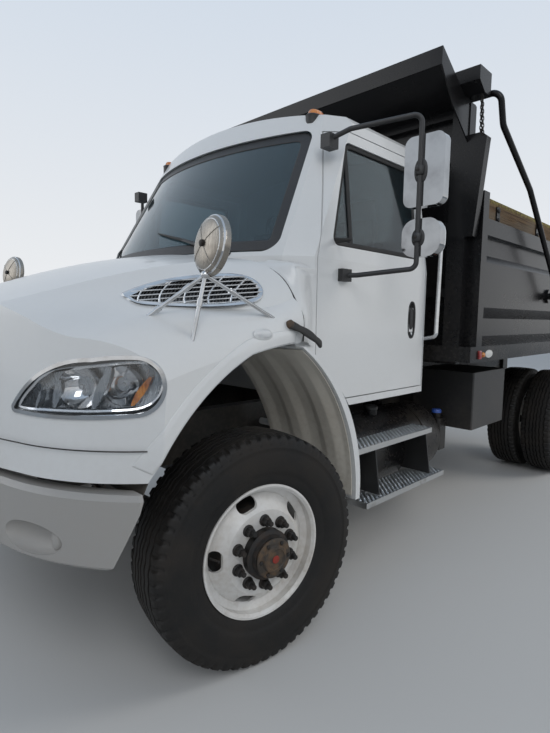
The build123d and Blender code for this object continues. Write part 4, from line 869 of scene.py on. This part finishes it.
domeShape = {
    "x": -0.745, "y": (-0.717, -0.175, 0.0, 0.175, 0.717), "top": 2.74, "fall": 0.055, "tall": 0.085, "power": 2.3,
    "foot": (0.070, 0.042), "footRings": [(0, 0.0), (0.0, 0.045), (-0.002, 0.050), (0.004, 0.056)],
    "lens": (0.056, 0.034), "lensRings": [(0, 0.050), (0.002, 0.070), (0.010, 0.082), (0.022, 0.0835)],
}
print("roof lamps")
domes, size = Piece("roof_lamp_domes"), domeShape
for y in size["y"]:
    base = at(size["x"], y, size["top"] - abs(y) * size["fall"] - size["tall"])
    for part, finish in (("foot", blackPlastic), ("lens", amberLens)):
        outline = oval(*size[part], size["power"], 40)
        domes.grid(stacked(outline, size[part + "Rings"], base, (0, 0, 1), (0, 1, 0)), finish)
domes.ride("chassis", "amber_lens", ["roof_lamps"])


# Step treads

stepShape = {
    # Each tread's x from and to, y from and to, and height.
    "treads": ((-1.495, -0.662, 0.982, 1.125, 0.842), (-1.590, -0.700, 0.985, 1.175, 0.550)),
    "grip": 0.006, "pitch": 0.036, "rim": 0.012, "base": 0.0015,
}


def gripGrid(x0, x1, y0, y1, z, size):
    # Raised teeth: z + grip * (positive part of cos x times cos y), flat at the rim. Each row goes back under itself.
    x, y = np.meshgrid(np.linspace(x0, x1, 180), np.linspace(y0, y1, 36), indexing="ij")
    wave = np.cos(2 * np.pi * x / size["pitch"]) * np.cos(2 * np.pi * y / size["pitch"])
    rim = np.minimum(np.minimum(x - x0, x1 - x), np.minimum(y - y0, y1 - y)) / size["rim"]
    lift = size["grip"] * np.clip(wave * 1.6, -0.25, 1) * np.clip(rim, 0, 1)
    top = np.stack([x + axleX, y, z + size["base"] + lift], -1)
    under = top[:, [-1, 0]]
    under[..., 2] = z
    rows = np.concatenate([top, under], 1)
    ends = np.repeat(rows.mean(1, keepdims=True), rows.shape[1], 1)
    return np.concatenate([ends[:1], rows, ends[-1:]])


print("steps")
treads = Piece("step_treads")
for tread in stepShape["treads"]:
    treads.both(gripGrid(*tread, stepShape), stepAluminium)
treads.ride("chassis", "tread_aluminium")


# Chains, board brackets and lamps on the body

chainShape = {
    "wire": 0.0035, "half": 0.013, "round": 0.0075, "pitch": 0.0205,
    "runs": (((-1.785, 1.212, 2.962), (-1.822, 1.200, 2.735)), ((-1.752, 1.228, 2.962), (-1.800, 1.222, 2.740))),
}
strapShape = {
    "x": (-2.25, -3.10, -3.95, -4.55), "y": 1.174, "z": (2.150, 2.352), "half": (0.028, 0.004),
    "bolt": [(0, 0), (0.016, 0), (0.016, 0.004), (0.011, 0.010), (0, 0.012)], "boltY": 1.177, "boltZ": (2.262, 2.325),
}
sideLamps = {
    "red": (-1.945, 1.219, 1.302), "redHalf": (0.020, 0.030),
    "redRings": [(0, -0.002), (0, 0.010), (0.003, 0.013), (0.01, 0.0135)],
    "amber": (-2.010, 1.219, 1.300),
    "amberProfile": [(0, -0.002), (0.018, -0.002), (0.018, 0.006), (0.012, 0.014), (0, 0.017)],
    "blank": (-2.110, 1.219, 1.304), "blankHalf": (0.062, 0.028),
    "blankRings": [(0, -0.002), (0, 0.004), (0.003, 0.006), (0.006, 0.005), (0.009, 0.006)],
}


def linkGrid(size):
    # A stadium loop thickened: the loop's point plus a small circle square to it.
    loop = oval(size["half"], size["round"], 2.6, 18)
    path = np.stack([loop[:, 0], loop[:, 1], np.zeros(len(loop))], -1)
    around = np.linspace(0, 2 * np.pi, 6, endpoint=False)[None, :, None]
    ahead = np.roll(path, -1, 0) - np.roll(path, 1, 0)
    ahead /= np.linalg.norm(ahead, axis=1)[:, None]
    out = np.stack([ahead[:, 1], -ahead[:, 0], ahead[:, 2]], -1)
    return path[:, None] + size["wire"] * (np.cos(around) * out[:, None] + np.sin(around) * np.array([0, 0, 1.0]))


print("chains")
chain = Piece("tarp_chains")
link, pitch = linkGrid(chainShape), chainShape["pitch"]
for top, bottom in chainShape["runs"]:
    top, bottom = at(*top), at(*bottom)
    length = np.linalg.norm(bottom - top)
    ahead = (bottom - top) / length
    across = np.cross(ahead, (1, 0, 0))
    across /= np.linalg.norm(across)
    over = np.cross(ahead, across)
    for step in range(int(length / pitch) + 1):
        spin = np.stack([ahead, across, over] if step % 2 else [ahead, over, across])
        chain.grid(link @ spin + top + ahead * pitch * step, nutIron, closeRows=True)
chain.ride("bed", "frame_black")

fittings, size, out = Piece("body_fittings"), strapShape, (0, 1, 0)
wide, thick = size["half"]
strap = [(-wide, -thick), (wide, -thick), (wide, thick), (-wide, thick)]
for x in size["x"]:
    fittings.both(carried(strap, [at(x, size["y"], z) for z in size["z"]], out), bodyBlack)
    for z in size["boltZ"]:
        fittings.both(lathe(size["bolt"], at(x, size["boltY"], z), out, 20), nutIron)
size = sideLamps
fittings.both(stacked(oval(*size["redHalf"], 6, 32), size["redRings"], at(*size["red"]), out), redLens)
fittings.both(lathe(size["amberProfile"], at(*size["amber"]), out, 28), amberLens)
fittings.both(stacked(oval(*size["blankHalf"], 2.1, 48), size["blankRings"], at(*size["blank"]), out), plateBlank)
fittings.ride("bed", "black_paint")


# Hood furniture

intakeShape = {
    "loop": np.array([
        (0.446, 1.634), (0.240, 1.702), (0.0, 1.731), (-0.066, 1.682), (-0.018, 1.617), (0.200, 1.588),
        (0.430, 1.590), (0.460, 1.612),
    ]),
    "middle": np.array([0.197, 1.658]), "tilt": -6.0, "rake": np.array([0.78, -0.62]),
    "frame": [(-0.005, -0.030), (-0.005, 0.001), (0.000, 0.006), (0.007, 0.006), (0.012, 0.000), (0.012, -0.030)],
    "back": [(-0.002, -0.034), (-0.002, -0.028)],
    "louvres": (-0.049, -0.031, -0.013, 0.005, 0.023, 0.041, 0.059), "dividers": (-0.185, -0.085, 0.015, 0.115, 0.20),
    "teeth": (-0.25, 0.26, 0.014), "bar": (0.0030, 0.006), "thin": (0.0022, 0.005),
}
lipShape = {
    "first": ((0.600, 0.940), (0.387, 1.212), (0.110, 1.387)),
    "second": ((0.110, 1.387), (-0.040, 1.412), (-0.178, 1.424)),
    "wide": 0.062, "proud": 0.005, "edge": 0.004, "bottom": 0.975, "outside": 1.30, "lift": 0.0002, "thick": 0.0016,
}
linerShape = {
    "clear": 0.012, "ridge": 0.010, "ridges": 2.5, "thick": 0.004, "wheel": np.array([0.0, 0.52]),
    # Each liner's name, three points of its arc in side view, y from and to, finish and body.
    "runs": (
        ("arch_liners", ((-0.200, 1.395), (-0.470, 1.126), (-0.616, 0.610)), (0.575, 1.134), liner, "chassis"),
        ("hood_liners", ((0.606, 0.905), (0.400, 1.190), (0.110, 1.368)), (0.585, 1.108), frameBlack, "hood"),
    ),
}
cowlShape = {
    # (y, z) up the hood's rear edge, then up the ridge above the cab's corner and up the cab, each low to high.
    "front": [
        (1.104, 1.432), (1.105, 1.500), (1.098, 1.556), (1.066, 1.618), (1.032, 1.680), (0.998, 1.724),
        (0.950, 1.761), (0.900, 1.784), (0.850, 1.801),
    ],
    "ridge": [
        (-0.266, 1.092, 1.426), (-0.266, 1.094, 1.500), (-0.266, 1.090, 1.562), (-0.266, 1.068, 1.630),
        (-0.266, 1.050, 1.696), (-0.266, 1.038, 1.752), (-0.264, 1.006, 1.796), (-0.255, 0.930, 1.806),
        (-0.215, 0.855, 1.810),
    ],
    "rear": [
        (-0.425, 1.009, 1.400), (-0.425, 1.009, 1.500), (-0.425, 1.009, 1.570), (-0.425, 1.009, 1.640),
        (-0.425, 1.008, 1.710), (-0.420, 1.004, 1.766), (-0.385, 0.976, 1.800), (-0.320, 0.926, 1.814),
        (-0.250, 0.864, 1.821),
    ],
    "arcStart": 0.030, "arcRadius": 3.142, "gap": 0.007, "thick": 0.005, "seal": 0.0032,
}


def sideFit(name, middle):
    # The outer side of a CAD node as y = a cubic in x and z, fitted to its points and again to those outside the fit.
    mesh = nodes[name].data
    flat = np.empty(len(mesh.vertices) * 3)
    mesh.vertices.foreach_get("co", flat)
    x, y, z = flat.reshape(-1, 3).T
    x = x - axleX - middle[0]
    z = z - middle[1]

    def terms(a, b):
        return np.stack([np.ones_like(a), a, b, a * a, a * b, b * b, a ** 3, a * a * b, a * b * b, b ** 3], -1)

    keep = y > 0
    for fit in range(2):
        weights = np.linalg.lstsq(terms(x[keep], z[keep]), y[keep], rcond=None)[0]
        keep = keep & (y > terms(x, z) @ weights)
    return lambda a, b, depth: np.stack([a + axleX, terms(a - middle[0], b - middle[1]) @ weights + depth, b], -1)


def barAcross(loop, start, ahead):
    # The part of a straight line that lies in the loop, as flat points.
    run = start + np.linspace(-0.35, 0.35, 281)[:, None] * ahead
    run = run[within(loop, run)]
    return run[:: max(1, len(run) // 24)] if len(run) > 2 else run


def squareTo(line):
    # Unit vectors square to a flat line, on its left.
    ahead = np.gradient(line, axis=0)
    return np.stack([-ahead[:, 1], ahead[:, 0]], -1) / np.linalg.norm(ahead, axis=1)[:, None]


def eased(first, last, steps):
    # first + (last - first) * t in x, and by 3 t squared - 2 t cubed in y and z.
    t = np.linspace(0, 1, steps)[:, None, None]
    ease = 3 * t ** 2 - 2 * t ** 3
    return first + (last - first) * np.concatenate([t, ease, ease], -1)


print("intakes")
intakes, size = Piece("intake_grilles"), intakeShape
wall = sideFit("side_intakes", size["middle"])
opening = closedCurve(size["loop"], 120)
lean = math.radians(size["tilt"])
along, over = np.array([math.cos(lean), math.sin(lean)]), np.array([-math.sin(lean), math.cos(lean)])
intakes.both(hoop(opening, size["frame"], wall), chrome, closeRows=True)
# The black back that closes the opening behind the louvres is painted shade: a dark sheet standing in for the shade
# inside the intake.
intakes.both(slab(opening, size["back"], wall), blackPlastic)
bars = (
    (size["louvres"], over, along, oval(*size["bar"], 4, 12), 0.0, chrome),
    (size["dividers"], along, size["rake"], oval(*size["bar"], 4, 12), -0.001, chrome),
    (np.arange(*size["teeth"]), along, size["rake"], oval(*size["thin"], 4, 8), -0.008, blackPlastic),
)
for steps, shift, ahead, section, depth, finish in bars:
    for step in steps:
        run = barAcross(opening, size["middle"] + step * shift, ahead)
        if len(run) > 2:
            intakes.both(carried(section, wall(run[:, 0], run[:, 1], depth), (0, 1, 0)), finish)
intakes.ride("hood", "chrome", ["side_intakes"])

print("fender lips")
size = lipShape
edge = np.concatenate([arcThrough(*size["first"], 90)[:-1], arcThrough(*size["second"], 30)])
edge = edge[edge[:, 1] > size["bottom"]]
out = squareTo(edge)
out *= np.sign(out[:, 1:2] + 1e-9)
across = np.linspace(0, 1, 12)
flat = edge[:, None] + (size["edge"] + size["wide"] * across[None, :, None]) * out[:, None]
count = np.arange(len(edge))
ends = np.clip(np.minimum(count, count[::-1]) / 5, 0, 1)
for side, name in sides:
    lip = Piece(f"fender_lip_{name}").grid(facingY(size["outside"] * side)(flat), whitePaint, closeColumns=False)
    fall = np.zeros((len(edge), len(across), 3))
    fall[..., 1] = ends[:, None] * np.clip((1 - across) * 3, 0, 1)[None] * size["proud"] * side
    laidOn(lip.ride("hood", "white_paint"), "hood_shell", (False, True, False), size["lift"], size["thick"], fall)

print("arch liners")
size = linerShape
for name, bent, reach, finish, body in size["runs"]:
    # Under the arc, moved towards the wheel by sin(along) * (clear + ridge * cos(across)).
    arch, span = arcThrough(*bent, 70), np.linspace(*reach, 80)
    inward = squareTo(arch)
    inward *= np.sign((size["wheel"] - arch)[:, :1] * inward[:, :1])
    ridge = size["ridge"] * np.clip(np.cos(np.linspace(0, 2 * np.pi * size["ridges"], len(span))) * 1.5, -1, 1)
    ripple = np.sin(np.linspace(0, np.pi, len(arch)))[:, None] * (size["clear"] + ridge)[None]
    walls = [arch[:, None] + (ripple + gap)[..., None] * inward[:, None] for gap in (size["thick"], 0.0)]
    y = np.repeat(span[None], len(arch), 0)
    walls = [np.stack([wall[..., 0] + axleX, y, wall[..., 1]], -1) for wall in walls]
    Piece(name).both(sheet(*walls), finish).ride(body, "black_plastic")

print("cowl")
# From the hood's rear edge, an arc in plan, over the ridge above the cab's own corner, back to the cab.
size = cowlShape
front, radius = np.array(size["front"]), size["arcRadius"]
frontX = -size["arcStart"] - (radius - np.sqrt(radius ** 2 - front[:, 0] ** 2)) - size["gap"]
near = curve(np.concatenate([frontX[:, None], front], 1), 60)
top, far = curve(size["ridge"], 60), curve(size["rear"], 60)
skin = np.concatenate([eased(near, top, 10), eased(top, far, 20)[1:]]) + [axleX, 0, 0]
under = np.cross(np.gradient(skin, axis=0), np.gradient(skin, axis=1))
under *= size["thick"] / np.linalg.norm(under, axis=-1, keepdims=True)
under *= -np.sign(under[..., 1:2] + 1e-9)
corners = Piece("cowl_corners").both(sheet(skin, skin + under), whitePaint)
corners.both(carried(oval(size["seal"], size["seal"], 2, 12), near + [axleX - 0.001, 0, 0], (1, 0, 0)), rubberBlack)
corners.ride("chassis", "white_paint")

seamShape = {
    "z": 1.068, "half": (0.0010, 0.0026), "nose": ((0.880, -0.700), (0.985, 0), (0.880, 0.700)),
    "corner": ((0.880, 0.700), (0.762, 0.960), (0.560, 1.152)), "cornerSteps": (40, 37),
}
hoodTrim = {
    "marker": (0.046, 1.129, 1.468), "markerOut": (0, 0.97, 0.24), "markerHalf": (0.055, 0.026),
    "markerRings": [(0, -0.02), (0, 0.004), (0.006, 0.010), (0.016, 0.013)],
    "lensHalf": (0.040, 0.019), "lensRings": [(0, 0.004), (0, 0.013), (0.008, 0.017)],
    "latch": [
        (-0.125, 1.124, 1.512), (-0.180, 1.137, 1.490), (-0.235, 1.142, 1.466), (-0.290, 1.138, 1.440),
        (-0.335, 1.126, 1.418),
    ],
    "latchHalf": (0.021, 0.0095), "latchOver": (0, 1, 0.4),
    "anchor": [(0, -0.016), (0.019, -0.016), (0.019, 0.007), (0.013, 0.012), (0, 0.013)],
    "anchorAt": (-0.125, 1.126, 1.512), "anchorOut": (0.05, 1, 0.35),
}
print("hood fittings")
corner = arcThrough(*seamShape["corner"], seamShape["cornerSteps"][0])[:seamShape["cornerSteps"][1]]
seam = np.concatenate([(corner * [1, -1])[::-1], arcThrough(*seamShape["nose"], 60)[1:-1], corner])
seam = np.concatenate([seam + [axleX, 0], np.full((len(seam), 1), seamShape["z"])], 1)
Piece("hood_seam").grid(carried(oval(*seamShape["half"], 4, 10), seam), frameBlack).ride("hood", "black_plastic")

trim, size = Piece("hood_trim"), hoodTrim
marker, out = at(*size["marker"]), size["markerOut"]
trim.both(stacked(oval(*size["markerHalf"], 2.2, 40), size["markerRings"], marker, out), whitePaint)
trim.both(stacked(oval(*size["lensHalf"], 2.2, 40), size["lensRings"], marker, out), lampGlass)
latch = curve([at(*place) for place in size["latch"]], 24)
swell = 0.78 + 0.22 * np.abs(np.cos(np.linspace(0, 2 * np.pi, len(latch))))
trim.both(carried(oval(*size["latchHalf"], 3, 20), latch, size["latchOver"], swell=swell), rubberBlack)
trim.both(lathe(size["anchor"], at(*size["anchorAt"]), size["anchorOut"], 24), capBrown)
trim.ride("hood", "rubber_black")


# Mirrors on the hood, lamps in the bumper

hoodMirror = {
    "head": (0.290, 1.100, 1.810), "facing": (0.97, -0.15, 0.12), "joint": (0.326, 1.100, 1.697),
    "dome": [
        (0, 0.044), (0.030, 0.043), (0.060, 0.039), (0.088, 0.032), (0.106, 0.023), (0.1165, 0.010),
        (0.1175, -0.010), (0.113, -0.0135), (0, -0.0135),
    ],
    "glass": [(0, -0.0185), (0.080, -0.0168), (0.109, -0.0140), (0.109, -0.012), (0, -0.012)],
    "bolt": [(0, 0.040), (0.014, 0.040), (0.014, 0.052), (0.009, 0.056), (0, 0.056)],
    "ribs": (35, 125), "ribReach": 0.104, "ribRadius": 0.0016, "ribLift": 0.0005,
    "feet": ((0.486, 0.950, 1.535), (0.409, 1.100, 1.350), (-0.138, 1.090, 1.500)),
    # Radius and height of the sleeve part of the way down a leg, and of the collar near its foot.
    "sleeve": (0.0115, 0.030), "sleeveAt": 0.30, "collar": (0.0125, 0.022), "collarUp": 0.050,
}
mirrorCover = brushed("mirror_cover", rgb(0.30, 0.275, 0.24), 0.20, 14)
trim, size = Piece("hood_mirror_trim"), hoodMirror
head, joint, facing = at(*size["head"]), at(*size["joint"]), size["facing"]
trim.both(lathe(size["dome"], head, facing, 64), mirrorCover)
trim.both(lathe(size["glass"], head, facing, 64), mirrorGlass)
right, over, forward = axes(facing)
dome = np.array(size["dome"][:5])
for angle in size["ribs"]:
    spoke = math.cos(math.radians(angle)) * right + math.sin(math.radians(angle)) * over
    reach = np.linspace(-size["ribReach"], size["ribReach"], 30)
    crown = np.interp(np.abs(reach), dome[:, 0], dome[:, 1] + size["ribLift"])
    rib = head + reach[:, None] * spoke + crown[:, None] * forward
    trim.both(carried(oval(size["ribRadius"], size["ribRadius"], 2, 8), rib, forward), mirrorCover)
trim.both(lathe(size["bolt"], head, facing, 6), nutIron)
for foot in size["feet"]:
    run = at(*foot) - joint
    length = np.linalg.norm(run)
    places = (size["sleeveAt"] * length, length - size["collarUp"])
    for reach, (wide, high) in zip(places, (size["sleeve"], size["collar"])):
        collar = [(0, -high / 2), (wide, -high / 2), (wide, high / 2), (0, high / 2)]
        trim.both(lathe(collar, joint + run / length * reach, run / length, 20), chrome)
trim.ride("hood", "chrome")

fogShape = {
    "centre": (0.884, 0.778, 0.728), "turned": 22, "out": 0.106, "in": 0.034, "half": (0.030, 0.040), "look": -30,
    "rings": [(0, -0.030), (0, 0.000), (0.004, 0.007), (0.012, 0.012), (0.022, 0.015)],
}
fog, size = Piece("bumper_lamps"), fogShape
turned, look = math.radians(size["turned"]), math.radians(size["turned"] + size["look"])
ahead = np.array([math.cos(turned), math.sin(turned), 0])
sideways = np.array([-math.sin(turned), math.cos(turned), 0])
place = at(*size["centre"]) + size["out"] * sideways - size["in"] * ahead
facing = (math.cos(look), math.sin(look), 0)
fog.both(stacked(oval(*size["half"], 2.2, 48), size["rings"], place, facing), bumperGrey)
fog.ride("chassis", "bumper_grey")


# Tank caps

capShape = {
    "fluid": [(0, 0), (0.036, 0), (0.036, 0.018), (0.030, 0.026), (0, 0.028)], "fluidAt": (-2.060, 0.870, 0.835),
    "fuel": [(0, 0), (0.050, 0), (0.050, 0.016), (0.042, 0.024), (0, 0.026)], "fuelAt": (-1.330, 0.760, 0.935),
}
caps = Piece("tank_caps")
caps.grid(lathe(capShape["fluid"], at(*capShape["fluidAt"]), (0, 0, 1), 18), capBlue)
caps.grid(lathe(capShape["fuel"], at(*capShape["fuelAt"]), (0, 0, 1), 24), frameBlack)
caps.ride("chassis", "black_plastic")


# Camera, floor and light

print("camera and light")
view = {"place": (1.49916, 2.63741, 1.54385), "yaw": 44.6253, "pitch": 5.6999, "roll": 0.9020, "lens": 24.52}


def setCamera(v):
    yaw, pitch, roll = (math.radians(v[k]) for k in ("yaw", "pitch", "roll"))
    ahead = Vector((-math.cos(yaw) * math.cos(pitch), -math.sin(yaw) * math.cos(pitch), -math.sin(pitch)))
    right = ahead.cross(Vector((0, 0, 1))).normalized()
    up = right.cross(ahead)
    across = right * math.cos(roll) + up * math.sin(roll)
    over = -right * math.sin(roll) + up * math.cos(roll)
    data = bpy.data.cameras.new("camera")
    data.sensor_width, data.lens = 36, v["lens"]
    data.clip_start, data.clip_end = 0.05, 200
    camera = bpy.data.objects.new("camera", data)
    bpy.context.scene.collection.objects.link(camera)
    matrix = Matrix((across, over, -ahead)).transposed().to_4x4()
    matrix.translation = Vector(at(*v["place"]))
    camera.matrix_world = matrix
    bpy.context.scene.camera = camera


def setFloor(half=40, count=9):
    flat = Finish("floor", {"Base Color": rgb(0.62, 0.62, 0.61), "Roughness": 0.8})
    edge = np.linspace(-half, half, count)
    x, y = np.meshgrid(edge, edge, indexing="ij")
    mesh = bpy.data.meshes.new("floor")
    points = np.stack([x, y, np.zeros_like(x)], -1).reshape(-1, 3)
    mesh.from_pydata(points.tolist(), [], gridFaces(count, count, False, False)[:, ::-1].tolist())
    mesh.materials.append(flat.material)
    made = bpy.data.objects.new("floor", mesh)
    bpy.context.scene.collection.objects.link(made)


def setLight(name, place, target, size, power, tint=(1, 1, 1), mirrored=True):
    data = bpy.data.lights.new(name, "AREA")
    data.energy, data.size, data.color = power, size, tint
    lamp = bpy.data.objects.new(name, data)
    lamp.location = place
    lamp.visible_glossy = mirrored  # the flat door glass would show the lamp as a pale panel
    lamp.rotation_mode = "QUATERNION"
    lamp.rotation_quaternion = (Vector(target) - Vector(place)).to_track_quat("-Z", "Y")
    bpy.context.scene.collection.objects.link(lamp)


def setWorld(lit=0.52, shown=0.95):
    # What is seen is a pale sky that darkens upwards. What lights the object is the same at a lower level.
    world = bpy.data.worlds.new("world")
    world.use_nodes = True
    bpy.context.scene.world = world
    tree = world.node_tree
    back = tree.nodes["Background"]
    place = tree.nodes.new("ShaderNodeTexCoord")
    split = tree.nodes.new("ShaderNodeSeparateXYZ")
    tree.links.new(place.outputs["Generated"], split.inputs[0])
    ramp = tree.nodes.new("ShaderNodeValToRGB")
    low, high = ramp.color_ramp.elements
    low.position, low.color = 0.0, rgb(0.90, 0.91, 0.92)
    high.position, high.color = 0.9, rgb(0.52, 0.64, 0.80)
    tree.links.new(split.outputs[2], ramp.inputs[0])
    tree.links.new(ramp.outputs[0], back.inputs["Color"])
    rays = tree.nodes.new("ShaderNodeLightPath")
    seen = rays.outputs["Is Camera Ray"]
    for kind in ("Is Glossy Ray", "Is Transmission Ray"):
        either = tree.nodes.new("ShaderNodeMath")
        either.operation = "MAXIMUM"
        tree.links.new(seen, either.inputs[0])
        tree.links.new(rays.outputs[kind], either.inputs[1])
        seen = either.outputs[0]
    level = tree.nodes.new("ShaderNodeMapRange")
    level.inputs["To Min"].default_value, level.inputs["To Max"].default_value = lit, shown
    tree.links.new(seen, level.inputs["Value"])
    tree.links.new(level.outputs[0], back.inputs["Strength"])


setCamera(view)
setFloor()
setWorld()
setLight("key", (6.5, 7.5, 8.0), (0, 0, 1.2), 5.0, 240)
setLight("rim", (-6.0, 6.5, 6.5), (-1, 0, 1.5), 4.0, 250, (1.0, 0.95, 0.88), mirrored=False)
setLight("fill", (7.0, -6.0, 5.0), (0, 0, 1.2), 6.0, 110)
bpy.context.scene.view_settings.view_transform = "Standard"

print("done")
